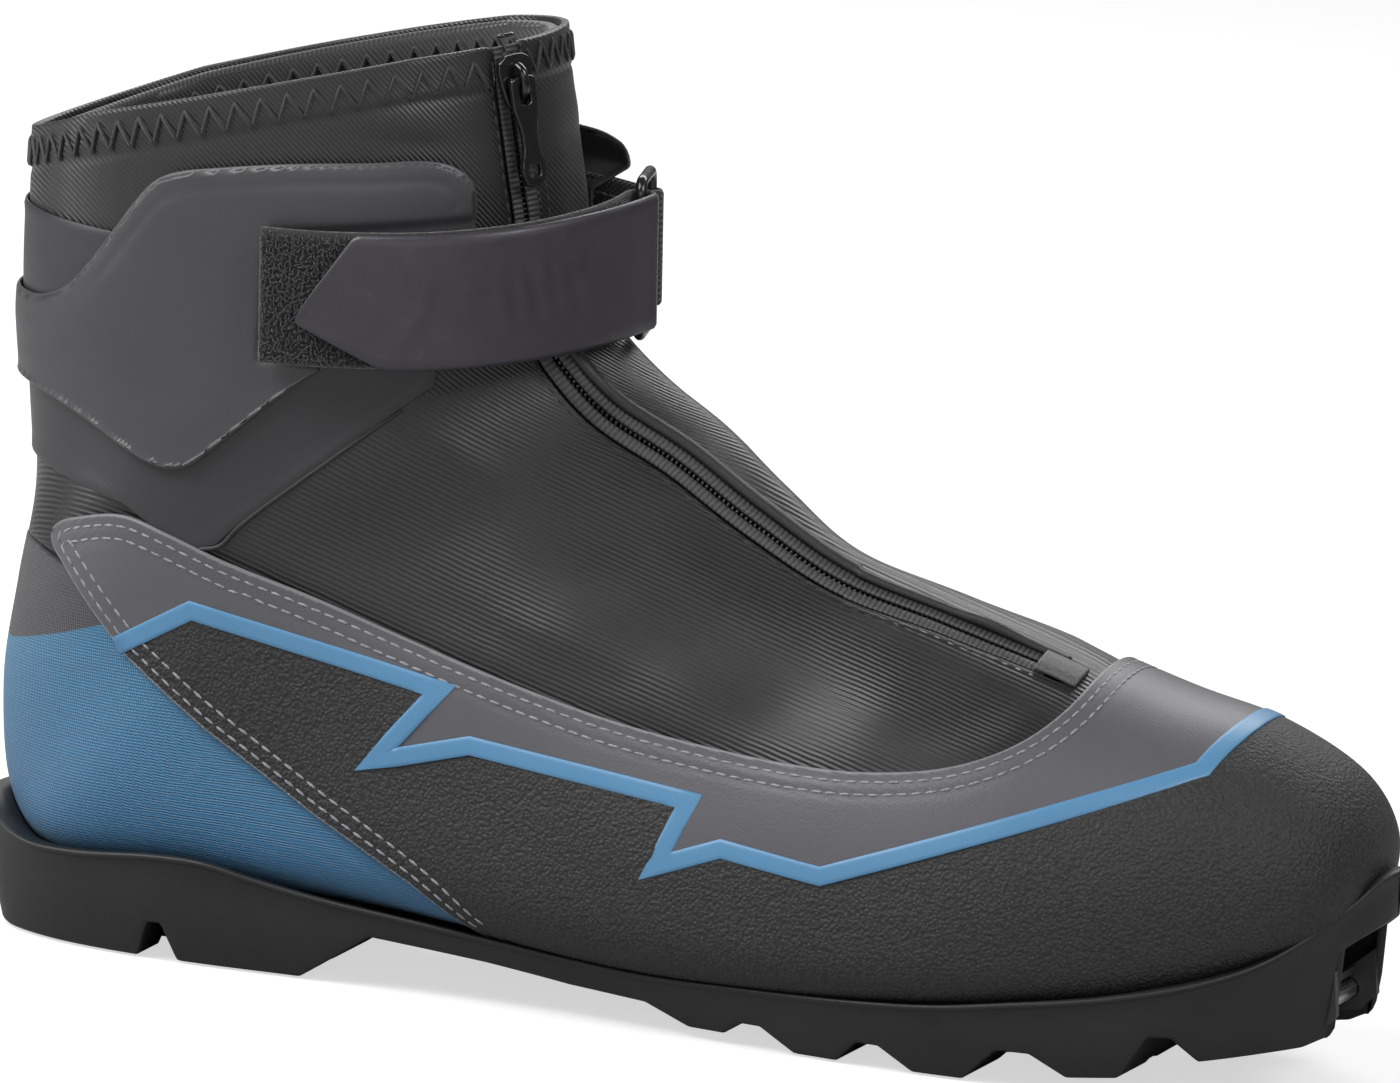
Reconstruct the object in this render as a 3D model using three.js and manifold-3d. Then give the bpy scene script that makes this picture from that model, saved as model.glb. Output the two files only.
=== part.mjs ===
// Cross country ski boot, right foot, in millimetres.
// X runs from heel to toe, Z is up from the floor, -Y is the outer side of the foot.
import * as THREE from 'three';
import { mergeVertices } from 'three/addons/utils/BufferGeometryUtils.js';
import Module from 'manifold-3d';

const wasm = await Module();
wasm.setup();
const { Manifold, Mesh } = wasm;

// ---------- driving dimensions ----------
const bootLength = 298; // heel to toe over the upper
const collarHeight = 198; // floor to the front of the rim
const ballWidth = 97; // across the upper at the ball
const clearance = 0.3; // left between any two pieces that touch
const randThickness = 1.3; // moulded sheet round the foot
const clothThickness = 1.5; // softshell of the gaiter
const linerThickness = 3.0; // padded inner boot
const underlayThickness = 0.7; // smooth sheet under the cuff
const cuffThickness = 1.9; // ankle cradle
const recessDepth = 0.8; // flat in the cuff for the strap
const collarRollDepth = 20; // padded roll at the top of the inner boot
const tongueWidth = 50;
const throatWidth = 30; // slit in the inner boot above the tongue
const tongueEase = 1.6; // air between the inner boot and the tongue
const strapWidth = 28;
const strapThickness = 1.6;
const strapRoom = 1.5; // least air between the strap and the gaiter in front
const ringPlay = 1.8; // room of the ring wire inside the fold of the strap
const ringWire = 2.4; // wire of the strap ring
const tapeWidth = 3.6; // each half of the zip, from the middle out
const tapeGap = 0.6; // half the gap between the two zip tapes
const tapeThickness = 0.8;
const chainWidth = 3.6;
const sliderLength = 11;
const sliderWidth = 8.4;
const pullerLength = 22;
const pullerWidth = 6.4;
const barDiameter = 4; // steel bar under the toe
const barLength = 31;
const grooveWidth = 8; // guide grooves along the tread
const grooveDepth = 4.2;

// ---------- layers, as depth below the outermost skin ----------
const randOut = -0.4;
const randIn = randOut + randThickness;
const clothOut = randIn + clearance;
const clothIn = clothOut + clothThickness;
const linerOut = clothIn + clearance;
const linerIn = linerOut + linerThickness;
const tongueOut = linerIn + tongueEase;
const tongueIn = tongueOut + 2.2;
const footbedOut = linerIn + clearance;
const underlayIn = clothOut - clearance;
const underlayOut = underlayIn - underlayThickness;
const cuffIn = underlayOut - clearance;
const cuffOut = cuffIn - cuffThickness;
const soleIn = randOut - clearance;

// The outlines below were drawn for a boot 298 long, 198 high and 97 wide.
const along = bootLength / 298;
const upward = collarHeight / 198;
const across = ballWidth / 97;
const fit = (points) => points.map(([x, z]) => [x * along, z * upward]);

// ---------- shape of the last ----------
// Each station is one slice across the boot, from the tip of the toe to above the rim:
// top (x, z), foot (x, z), half width, shift to the inner side,
// how far up the slice is widest, roundness below and above that line.
const stations = [
  [[295.0, 45.0], [295.0, 45.0], 0.0, 6.0, 0.36, 2.2, 2.2],
  [[292.5, 55.0], [290.0, 35.0], 19.0, 6.0, 0.34, 2.3, 2.2],
  [[284.5, 65.0], [281.0, 26.5], 29.5, 5.5, 0.32, 2.5, 2.15],
  [[268.0, 73.0], [263.0, 17.5], 38.5, 4.5, 0.28, 2.9, 2.15],
  [[249.0, 77.5], [242.0, 13.2], 45.0, 3.0, 0.26, 3.2, 2.1],
  [[227.0, 84.5], [215.0, 10.2], 48.5, 1.0, 0.25, 3.3, 2.0],
  [[203.0, 91.5], [185.0, 8.4], 47.0, -1.0, 0.25, 3.4, 1.9],
  [[181.0, 98.5], [152.0, 8.6], 43.5, -2.0, 0.25, 3.5, 1.8],
  [[163.5, 109.5], [118.0, 11.6], 40.5, -2.0, 0.27, 3.8, 1.75],
  [[148.5, 121.0], [84.0, 14.2], 38.5, -1.0, 0.33, 4.2, 1.8],
  [[134.5, 130.0], [50.0, 14.8], 37.5, 0.0, 0.4, 4.4, 1.85],
  [[125.5, 137.5], [18.5, 14.9], 37.5, 0.0, 0.46, 3.6, 1.95],
  [[120.8, 144.0], [3.0, 24.6], 38.0, 0.0, 0.48, 2.3, 2.05],
  [[118.2, 151.0], [-1.2, 48.0], 39.0, 0.0, 0.48, 2.15, 2.15],
  [[116.2, 158.0], [0.2, 70.0], 40.0, 0.0, 0.48, 2.05, 2.2],
  [[114.4, 165.0], [2.2, 90.0], 40.5, 0.0, 0.49, 2.0, 2.3],
  [[112.6, 172.5], [0.2, 110.0], 41.0, 0.0, 0.5, 2.0, 2.3],
  [[110.8, 181.0], [-2.6, 130.0], 41.5, 0.0, 0.5, 2.0, 2.3],
  [[108.9, 190.0], [-3.6, 149.0], 41.5, 0.0, 0.5, 2.0, 2.3],
  [[107.2, 199.0], [-4.0, 167.0], 41.5, 0.0, 0.5, 2.0, 2.3],
  [[105.2, 212.0], [-4.0, 184.0], 41.5, 0.0, 0.5, 2.0, 2.3],
].map(([top, foot, ...rest]) => [
  top[0] * along, top[1] * upward, foot[0] * along, foot[1] * upward,
  rest[0] * across, rest[1] * across, ...rest.slice(2),
]);
const lastStation = stations.length - 1;

// One value of the stations at t, smooth between them.
function stationValue(t, column) {
  const i = Math.min(Math.floor(t), lastStation - 1);
  const f = t - i;
  const b = stations[i][column];
  const c = stations[i + 1][column];
  const a = i > 0 ? stations[i - 1][column] : 2 * b - c;
  const d = i < lastStation - 1 ? stations[i + 2][column] : 2 * c - b;
  return 0.5 * (2 * b + (c - a) * f + (2 * a - 5 * b + 4 * c - d) * f * f
    + (3 * b - a - 3 * c + d) * f * f * f);
}

// A point of the skin: t along the boot, angle round it from the foot (0),
// up the outer side to the top (pi) and down the inner side (2 pi).
function skinPoint(t, angle) {
  const [topX, topZ, footX, footZ, half, shift, widest, low, high] =
    [0, 1, 2, 3, 4, 5, 6, 7, 8].map((column) => stationValue(t, column));
  const power = Math.cos(angle) > 0 ? low : high;
  const rise = Math.abs(Math.cos(angle)) ** (2 / power);
  const out = Math.abs(Math.sin(angle)) ** (2 / power) * Math.sign(Math.sin(angle));
  const share = Math.cos(angle) > 0 ? widest * (1 - rise) : widest + (1 - widest) * rise;
  return new THREE.Vector3(
    footX + (topX - footX) * share, shift - out * half, footZ + (topZ - footZ) * share);
}

function skinNormal(t, angle) {
  const step = 0.02;
  const t0 = Math.max(t - step, 0.01);
  const t1 = Math.min(t + step, lastStation);
  const alongBoot = skinPoint(t1, angle).sub(skinPoint(t0, angle));
  const roundBoot = skinPoint(t, angle + step).sub(skinPoint(t, angle - step));
  return roundBoot.cross(alongBoot).normalize();
}

// A point at a depth below the skin (negative stands proud of it).
function layerPoint(t, angle, depth) {
  return skinPoint(t, angle).addScaledVector(skinNormal(t, angle), -depth);
}

// The angle on the upper half of the slice where the skin is at a given y.
function angleAt(t, y) {
  let low = Math.PI / 2;
  let high = 1.5 * Math.PI;
  for (let i = 0; i < 40; i += 1) {
    const middle = (low + high) / 2;
    if (skinPoint(t, middle).y < y) low = middle;
    else high = middle;
  }
  return (low + high) / 2;
}

// ---------- solids ----------
function solid(geometry) {
  const plain = new THREE.BufferGeometry();
  plain.setAttribute('position', geometry.getAttribute('position'));
  if (geometry.index) plain.setIndex(geometry.index);
  const merged = mergeVertices(plain, 1e-4);
  return new Manifold(new Mesh({
    numProp: 3,
    vertProperties: Float32Array.from(merged.getAttribute('position').array),
    triVerts: Uint32Array.from(merged.index.array),
  }));
}

// Closed body through rings of points; both ends are closed to their middle,
// or to the given tips.
function loft(rings, startTip = null, endTip = null) {
  const count = rings[0].length;
  const middle = (ring) => ring.reduce((sum, p) => sum.add(p), new THREE.Vector3())
    .divideScalar(count);
  const points = [...rings.flat(), startTip ?? middle(rings[0]), endTip ?? middle(rings.at(-1))];
  const start = points.length - 2;
  const faces = [];
  for (let j = 0; j < count; j += 1) {
    const k = (j + 1) % count;
    for (let i = 0; i < rings.length - 1; i += 1) {
      const row = i * count;
      const next = row + count;
      faces.push([row + j, row + k, next + k], [row + j, next + k, next + j]);
    }
    const last = (rings.length - 1) * count;
    faces.push([start, k, j], [start + 1, last + j, last + k]);
  }
  const volume = faces.reduce((sum, [a, b, c]) => sum
    + points[a].dot(points[b].clone().cross(points[c])), 0);
  const geometry = new THREE.BufferGeometry();
  geometry.setAttribute('position', new THREE.Float32BufferAttribute(
    points.flatMap((p) => [p.x, p.y, p.z]), 3));
  geometry.setIndex((volume > 0 ? faces : faces.map(([a, b, c]) => [a, c, b])).flat());
  return solid(geometry);
}

// Everything inside the skin at a depth, from the toe to above the rim.
const slices = [0.3, 0.7, 1.1, 1.6, 2.1, 2.6, 3.2, 3.8, 4.4, 5.1, 5.9, 6.7, 7.5, 8.3, 9.1, 9.9,
  10.6, 11.3, 12, 12.7, 13.5, 14.5, 15.6, 16.8, 18, 19.1, 20];
const steps = 24;
const insides = new Map();
function inside(depth) {
  if (!insides.has(depth)) {
    const rings = slices.map((t) => Array.from({ length: steps }, (_, j) =>
      layerPoint(t, (2 * Math.PI * j) / steps, depth)));
    const tip = skinPoint(0, 0).add(new THREE.Vector3(-depth, 0, 0));
    insides.set(depth, loft(rings, tip));
  }
  return insides.get(depth);
}
const layer = (outer, inner) => inside(outer).subtract(inside(inner));
// The body itself, without slivers left at the edge of a cut.
const mainBody = (body) => body.decompose().sort((a, b) => b.volume() - a.volume())[0];

// Side view outline [x, z] pushed across the boot from one y to another.
function sideCut(points, from = -90, to = 90) {
  const shape = new THREE.Shape(points.map(([x, z]) => new THREE.Vector2(x, z)));
  const geometry = new THREE.ExtrudeGeometry(shape, { depth: to - from, bevelEnabled: false });
  geometry.rotateX(Math.PI / 2).translate(0, to, 0);
  return solid(geometry);
}

// Plan outline [x, y] pushed up from one z to another.
function planCut(points, from, to) {
  const shape = new THREE.Shape(points.map(([x, y]) => new THREE.Vector2(x, y)));
  return solid(new THREE.ExtrudeGeometry(shape, { depth: to - from, bevelEnabled: false })
    .translate(0, 0, from));
}

function box(size, centre) {
  return solid(new THREE.BoxGeometry(...size).translate(...centre));
}

// Rod between two points.
function rod(from, to, radius, sides = 12) {
  const length = from.distanceTo(to);
  const geometry = new THREE.CylinderGeometry(radius, radius, length, sides);
  const turn = new THREE.Quaternion().setFromUnitVectors(
    new THREE.Vector3(0, 1, 0), to.clone().sub(from).normalize());
  geometry.applyQuaternion(turn);
  geometry.translate(...from.clone().add(to).multiplyScalar(0.5).toArray());
  return solid(geometry);
}

const boot = new THREE.Group();
boot.name = 'cross_country_boot';
function addPiece(name, body, color, roughness, metalness = 0) {
  const { vertProperties, triVerts } = body.getMesh();
  const geometry = new THREE.BufferGeometry();
  geometry.setAttribute('position', new THREE.BufferAttribute(vertProperties, 3));
  geometry.setIndex(new THREE.BufferAttribute(triVerts, 1));
  const mesh = new THREE.Mesh(
    geometry, new THREE.MeshStandardMaterial({ color, roughness, metalness }));
  mesh.name = name;
  boot.add(mesh);
}

// ---------- outlines seen from the side ----------
// Lip of the sole cup, heel to toe.
const lipLine = fit([[-8, 27], [0, 26], [3, 24.6], [7, 22.4], [14, 20.4], [26, 20.5], [44, 22.3],
  [55, 22.3], [66, 20.2], [79, 18], [99, 15.8], [117, 14], [134, 12.6], [152, 11.8], [170, 12.4],
  [188, 13.2], [201, 14], [216, 15.3], [231, 17.6], [251, 20.8], [270, 25.6], [279, 29.5],
  [287, 35.5], [292, 40.5], [296, 45], [304, 49]]);
// Tread, toe to heel: toe cheeks, ball lugs, thin waist, two heel lugs.
const treadLine = fit([[304, 44], [296.5, 30], [291, 12.5], [287, 10.4], [269.8, 7.7],
  [264, 12.6], [259.5, 12.6], [254.5, 3.4], [244, 2.6], [236, 7], [229, 7], [222, 0], [211, 0],
  [203.5, 4.6], [198.5, 4.6], [194, 0], [184.5, 0], [177, 4.6], [172.5, 4.6], [168.5, 1.8],
  [160.5, 1.8], [151, 5.6], [134, 6.6], [116, 8.6], [91, 10.6], [76, 0], [49.5, 0], [46, 7.6],
  [43, 7.6], [40.5, 0], [-8, 0]]);
// Upper edge of the rand, heel to the middle of the toe box.
const randTop = fit([[14, 85], [22, 89.5], [33, 92], [44, 89.5], [56, 85.5], [75, 80.5], [97, 74],
  [120, 68], [142, 63.5], [163, 61], [180, 60], [197, 60.5], [214, 63.5], [226, 69], [233, 76],
  [236.5, 86]]);
// Seam of the rand across the heel overlay.
const heelSeam = fit([[123, 10], [101, 24], [78, 36], [54, 50], [35, 63], [19, 78]]);
const heelTop = fit([[-12, 81], [8, 81], [16, 79]]);
// Rim of the collar, heel to front.
const rimLine = fit([[-14, 161], [-4, 164.5], [20, 174], [44, 181], [65, 187], [87, 193],
  [106, 197], [118, 199]]);
const belowRim = (drop) => [...rimLine.map(([x, z]) => [x, z - drop]),
  ...fit([[140, 120], [340, 110]]), [340 * along, -20], [-40, -20], [-40, 120 * upward]];

// ---------- sole ----------
// Plan of the sole at its lip: x, outer edge, inner edge.
const solePlan = [[296, -1, 13], [292, -8, 20], [285, -17.5, 29.5], [275, -27.5, 38],
  [262, -36, 44], [247, -41.5, 47.2], [229, -44.8, 48], [206, -45.5, 46], [180, -42.8, 40],
  [151, -38, 33.5], [125, -34.6, 30.4], [100, -33.8, 30.8], [76, -34.6, 33], [53, -35.6, 34.8],
  [33, -34, 33.6], [19, -30, 30], [9, -24, 24], [3.5, -18, 18], [0, -9.5, 9.5]];
const soleCorners = [[298, 6], ...solePlan.map(([x, outer]) => [x, outer]), [-1.2, 0],
  ...solePlan.toReversed().map(([x, , inner]) => [x, inner])]
  .map(([x, y]) => new THREE.Vector3(x * along, y * across, 0));
const soleOutline = new THREE.CatmullRomCurve3(soleCorners, true).getSpacedPoints(56).slice(0, -1);
function soleRing(grow, z) {
  return soleOutline.map((p, i) => {
    const before = soleOutline.at(i - 1);
    const after = soleOutline[(i + 1) % soleOutline.length];
    const outward = new THREE.Vector3(before.y - after.y, after.x - before.x, 0).normalize();
    return new THREE.Vector3(p.x, p.y, z).addScaledVector(outward, grow);
  });
}
// Plan outline a given way inside the lip; points that would cross at the ends are left out.
function insetOutline(inset) {
  const flat = soleOutline.map((p) => new THREE.Vector3(p.x, p.y, 0));
  return soleRing(-inset, 0)
    .filter((q) => flat.every((p) => p.distanceTo(q) > inset - 0.2))
    .map((q) => [q.x, q.y]);
}
const barY = 5 * across; // middle of the toe recess
const barAt = new THREE.Vector3(285 * along, barY, 17.5 * upward);
const recessWidth = barLength + 2 * clearance;
const recessRoof = fit([[262, 9.5], [272, 14.5], [284, 23.5], [292, 31], [306, 42]]);
const recess = sideCut([...recessRoof, [320 * along, 42 * upward], [320 * along, -9], [262 * along, -9]],
  barY - recessWidth / 2, barY + recessWidth / 2);
const grooves = [-1, 1].map((side) => box([bootLength, grooveWidth, 2 * grooveDepth],
  [bootLength / 2 - 34, 3 * across + side * 15, 0]));
const soleWall = loft([soleRing(-5, -2), soleRing(-1.5, 10), soleRing(0, 22), soleRing(0, 62)]);
const outsole = soleWall
  .intersect(sideCut([...lipLine, ...treadLine]))
  .subtract(inside(soleIn))
  .subtract(recess)
  .subtract(grooves[0])
  .subtract(grooves[1]);
addPiece('outsole', outsole, 0x17181a, 0.62);

// Steel bar for the binding, held by a bracket moulded into the toe.
const halfBar = new THREE.Vector3(0, barLength / 2, 0);
const toeBar = rod(barAt.clone().sub(halfBar), barAt.clone().add(halfBar), barDiameter / 2, 16);
addPiece('toe_bar', toeBar, 0xb9bcc0, 0.25, 1);
const earThickness = 2.2;
const plateTop = recessRoof.slice(0, 3).map(([x, z]) => [x + 2 * along, z]);
const plateOutline = [...plateTop, ...plateTop.toReversed().map(([x, z]) => [x, z - 1.6])]
  .map(([x, z]) => [x, z - 1.2]);
const earOutline = [[273, 12.9], [284, 21.2], [290, 26.4], [291, 17], [288, 13.4], [283, 12.6],
  [277, 12.4]].map(([x, z]) => [x * along, z * upward]);
let bracket = sideCut(plateOutline, barY - barLength / 2, barY + barLength / 2);
for (const side of [-1, 1]) {
  const outer = barY + (side * barLength) / 2;
  const inner = outer - side * earThickness;
  bracket = bracket.add(sideCut(earOutline, Math.min(outer, inner), Math.max(outer, inner)));
}
bracket = bracket.subtract(rod(barAt.clone().sub(halfBar).add(new THREE.Vector3(0, -2, 0)),
  barAt.clone().add(halfBar).add(new THREE.Vector3(0, 2, 0)), barDiameter / 2 + clearance, 16));
addPiece('toe_bar_bracket', bracket, 0x2b2c2e, 0.5);

// ---------- boards inside ----------
const lastingMargin = 9; // how far the upper is turned in under the foot
const bottomMargin = planCut(insetOutline(lastingMargin), -10, 34);
const lastingBoard = layer(clothOut, clothIn).intersect(bottomMargin)
  .intersect(sideCut([...lipLine.slice(1, -4).map(([x, z]) => [x, z + 6]), [272, -10], [0, -10]]));
addPiece('lasting_board', lastingBoard, 0x8a7a5e, 0.8);
const footbedTop = lipLine.slice(1, -3).map(([x, z]) => [x, z + 7]);
const footbed = inside(footbedOut).intersect(sideCut([...footbedTop, [286, -10], [-10, -10]]));
addPiece('footbed', footbed, 0x3a3b40, 0.95);

// ---------- foot covering ----------
const randOutline = [...randTop, [236.5 * along, 130], [340, 130], [340, -20],
  [123 * along, -20], ...heelSeam];
const underRand = planCut(insetOutline(lastingMargin - 3), -20, 30);
const rand = layer(randOut, randIn).intersect(sideCut(randOutline)).subtract(underRand);
addPiece('rand', rand, 0x55545a, 0.6);

const seamLap = 6; // the overlay runs on under the seam of the rand
const heelOutline = [...heelTop, ...heelSeam.toReversed().map(([x, z]) => [x + seamLap, z]),
  [132 * along, -20], [-40, -20]];
const heelOverlay = layer(clothOut, clothIn).intersect(sideCut(heelOutline))
  .subtract(planCut(insetOutline(lastingMargin - clearance), -20, 34));
addPiece('heel_overlay', heelOverlay, 0x3d83b5, 0.75);

// Toe stiffener under the front of the rand.
const puffBack = 246 * along;
const toePuff = layer(clothOut, clothIn)
  .intersect(sideCut([[puffBack, -20], [340, -20], [340, 130], [puffBack, 130]]))
  .subtract(planCut(insetOutline(lastingMargin - clearance), -20, 34));
addPiece('toe_puff', toePuff, 0x9a8f7a, 0.8);

// ---------- zip ----------
// Middle line of the zip: slice and y, from the garage over the toes to the rim.
const zipLine = [[5.05, -12], [5.5, -12.5], [6, -13], [6.6, -13.6], [7.3, -14], [8, -14.4],
  [8.7, -14.9], [9.4, -15.3], [10.1, -15.8], [10.8, -16.3], [11.5, -16.9], [12.3, -17.5],
  [13.2, -18], [14.1, -18.5], [15, -18.9], [16, -19.2], [17, -19.5], [18, -19.7], [19, -19.8],
  [19.6, -19.9]].map(([t, y]) => [t, y * across]);
// Strip on the skin beside that line: from and to measured across it.
function zipStrip(from, to, outer, inner, stops = zipLine) {
  const parts = Math.max(1, Math.ceil((to - from) / 5));
  const places = Array.from({ length: parts + 1 }, (_, i) => from + ((to - from) * i) / parts);
  return loft(stops.map(([t, y]) => [
    ...places.map((place) => layerPoint(t, angleAt(t, y + place), outer)),
    ...places.toReversed().map((place) => layerPoint(t, angleAt(t, y + place), inner)),
  ]));
}
const tapeOut = clothOut + 0.2;
const tapeIn = tapeOut + tapeThickness;
const trim = sideCut(belowRim(1));
const stopsBetween = (first, last) => zipLine.slice(first, last);
addPiece('zip_tape_outer', zipStrip(-tapeWidth, -tapeGap, tapeOut, tapeIn).intersect(trim),
  0x6d6c70, 0.85);
addPiece('zip_tape_inner', zipStrip(tapeGap, tapeWidth, tapeOut, tapeIn).intersect(trim),
  0x6d6c70, 0.85);
const chainOut = tapeIn + clearance;
addPiece('zip_chain', zipStrip(-chainWidth / 2, chainWidth / 2, chainOut, chainOut + 1.3)
  .intersect(sideCut(belowRim(3))), 0x1b1b1d, 0.5);

// ---------- gaiter ----------
const shellFloor = randTop.map(([x, z]) => [x, z - 14 * upward]);
const zipSlot = zipStrip(-tapeWidth - clearance, tapeWidth + clearance, clothOut - 3, clothIn + 0.8,
  [[4.95, -12 * across], ...zipLine, [20, -20 * across]]);
const gaiterFront = puffBack - clearance;
const gaiterOutline = [...rimLine, ...fit([[150, 215]]), [gaiterFront, 215 * upward], [gaiterFront, 60 * upward],
  ...shellFloor.toReversed().slice(2), [-40, shellFloor[0][1]], [-40, 150 * upward]];
const heelSpace = sideCut([[-60, heelTop[0][1] + clearance],
  [heelTop[1][0], heelTop[1][1] + clearance], [heelTop[2][0] + seamLap, heelTop[2][1] + clearance],
  ...heelSeam.toReversed().slice(0, 4).map(([x, z]) => [x + seamLap + clearance, z + clearance]),
  [110 * along, -20], [-60, -20]]);
const gaiter = layer(clothOut, clothIn).intersect(sideCut(gaiterOutline)).subtract(heelSpace)
  .subtract(zipSlot);
addPiece('gaiter', gaiter, 0x2a2a2d, 0.7);

// Stiff edge along the upper side of the zip, patch over its lower end.
const pipingStops = stopsBetween(0, 12);
addPiece('zip_piping', zipStrip(tapeWidth + 0.6, tapeWidth + 2.4, clothOut - 1.5,
  clothOut - clearance, pipingStops), 0x1e1e20, 0.55);
const patchStops = [[4.75, -12 * across], [4.95, -12 * across], [5.12, -12.1 * across]];
addPiece('zip_end_patch', zipStrip(-tapeWidth - 0.6, tapeWidth + 0.3, clothOut - 1.2,
  clothOut - clearance, patchStops), 0x5c5c60, 0.6);

// ---------- inner boot ----------
const throatY = -8 * across; // middle of the slit, close to the zip
const throatStops = [4.8, ...zipLine.slice(3).map(([t]) => t), 20].map((t) => [t, throatY]);
const throat = zipStrip(-throatWidth / 2, throatWidth / 2, linerOut - clearance, linerIn + 1,
  throatStops);
const rollCut = sideCut(belowRim(collarRollDepth));
const padding = layer(linerOut, linerIn).subtract(throat);
addPiece('liner', mainBody(padding.intersect(sideCut(belowRim(collarRollDepth + clearance)))),
  0x26262a, 0.95);
addPiece('collar_roll', mainBody(padding.subtract(rollCut).intersect(sideCut(belowRim(0.6)))),
  0x2c2c30, 0.9);
const tongueStops = [[5.9, throatY], ...throatStops.slice(2, -1)];
const tongue = zipStrip(-tongueWidth / 2, tongueWidth / 2, tongueOut, tongueIn, tongueStops)
  .intersect(sideCut(belowRim(8)));
addPiece('tongue', tongue, 0x2f2f33, 0.95);

// ---------- ankle cradle ----------
const underlayOutline = fit([[-14, 96], [5, 98], [17, 96.5], [24, 95.5], [33, 95], [44, 92.5],
  [52, 90], [58, 93], [74, 107], [96, 126], [96, 150], [-14, 150]]);
const underlay = layer(underlayOut, underlayIn).intersect(sideCut(underlayOutline));
addPiece('cuff_underlay', underlay, 0x3b3a3f, 0.55);
const cuffWing = (front) => fit([[-14, 112], [3, 112], [16, 110.5], [30, 108], [40, 106],
  [49, 106], [57, 111], [73, 126], [84, 133], [front, 135], [front + 1, 166], [front - 3, 172],
  [front - 8, 174], [68, 170], [37, 163], [33, 158], [25, 148], [16, 136], [5, 131], [-14, 132]]);
const cuffSkin = layer(cuffOut, cuffIn);
const recessCut = layer(cuffOut - 1, cuffOut + recessDepth)
  .intersect(sideCut(fit([[62, 129], [104, 130], [104, 161], [62, 155]]), -90, 0));
const innerWingFront = 109;
const outerWingFront = 100;
const cuff = cuffSkin.intersect(sideCut(cuffWing(outerWingFront), -90, 0)).subtract(recessCut)
  .add(cuffSkin.intersect(sideCut(cuffWing(innerWingFront), 0, 90)));
addPiece('cuff', cuff, 0x4a494e, 0.5);

// ---------- strap ----------
// Plan line of the strap's inner face, from the outer side of the ankle to the front.
const lean = -0.06; // the strap leans back as it rises
const strapMiddle = 149 * upward;
const strapPlan = [[62, -45.4], [72, -45.8], [84, -45.0], [96, -42.2], [106, -37], [114, -29.5],
  [120, -20], [123.4, -10], [124.6, -1]];
let strapLine = [];
let strapSide = [];
function layStrap(slack) {
  strapLine = strapPlan.map(([x, y], i) =>
    new THREE.Vector2(x * along + Math.max(0, (i - 3) / 5) * slack, y * across));
  strapSide = strapLine.map((p, i) => {
    const before = strapLine[Math.max(i - 1, 0)];
    const after = strapLine[Math.min(i + 1, strapLine.length - 1)];
    return new THREE.Vector2(after.y - before.y, before.x - after.x).normalize();
  });
}
// Height of the strap's middle line at each point: it climbs towards the front.
const strapRise = [-6, -5.5, -4.6, -3.4, -2, -0.6, 0.8, 2, 3].map((rise) => rise * upward);
function onStrap(i, outward, height) {
  const p = strapLine[i].clone().addScaledVector(strapSide[i], outward);
  const z = strapMiddle + strapRise[i] + height;
  return new THREE.Vector3(p.x + lean * height, p.y, z);
}
// Band over part of that line; outward(i) is its inner face, half(i) half its width.
function band(first, last, outward, thickness, half) {
  const rings = [];
  for (let i = first; i <= last; i += 1) {
    const inner = outward(i);
    rings.push([onStrap(i, inner, -half(i)), onStrap(i, inner + thickness, -half(i)),
      onStrap(i, inner + thickness, half(i)), onStrap(i, inner, half(i))]);
  }
  return loft(rings);
}
const halfStrap = strapWidth / 2;
const front = strapPlan.length - 1;
const wireRoom = ringWire + ringPlay; // between the two passes where the ring sits
const hookThickness = 0.9;
const hookGap = strapThickness + clearance;
const passGap = hookGap + hookThickness + clearance;
const layBase = () => band(0, front, () => 0, strapThickness, () => halfStrap);
// The strap is let out in front until its whole width clears the gaiter.
let slack = 0;
layStrap(slack);
while (layBase().minGap(inside(clothOut), strapRoom) < strapRoom - 1e-6) {
  slack += 0.4;
  layStrap(slack);
}
const basePass = layBase();
const foldGap = strapThickness + wireRoom;
const passAt = (i) => passGap + (foldGap - passGap) * Math.max(0, (i - 5) / (front - 5)) ** 2;
// The fold turns round the bar of the ring.
const barCentre = onStrap(front, strapThickness + wireRoom / 2, 0);
const barUp = new THREE.Vector3(lean, 0, 1).normalize();
const foldForward = new THREE.Vector3(strapSide[front].x, strapSide[front].y, 0);
const foldAlong = new THREE.Vector3(-strapSide[front].y, strapSide[front].x, 0);
function foldPoint(turn, radius, height) {
  return barCentre.clone()
    .addScaledVector(foldForward, -Math.cos(turn) * radius)
    .addScaledVector(foldAlong, Math.sin(turn) * radius)
    .addScaledVector(new THREE.Vector3(lean, 0, 1), height);
}
const foldRings = Array.from({ length: 9 }, (_, i) => {
  const turn = (Math.PI * i) / 8;
  const inner = wireRoom / 2;
  const outer = inner + strapThickness;
  return [foldPoint(turn, inner, -halfStrap), foldPoint(turn, outer, -halfStrap),
    foldPoint(turn, outer, halfStrap), foldPoint(turn, inner, halfStrap)];
});
addPiece('strap_base', basePass.add(loft(foldRings)), 0x232226, 0.85);

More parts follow.
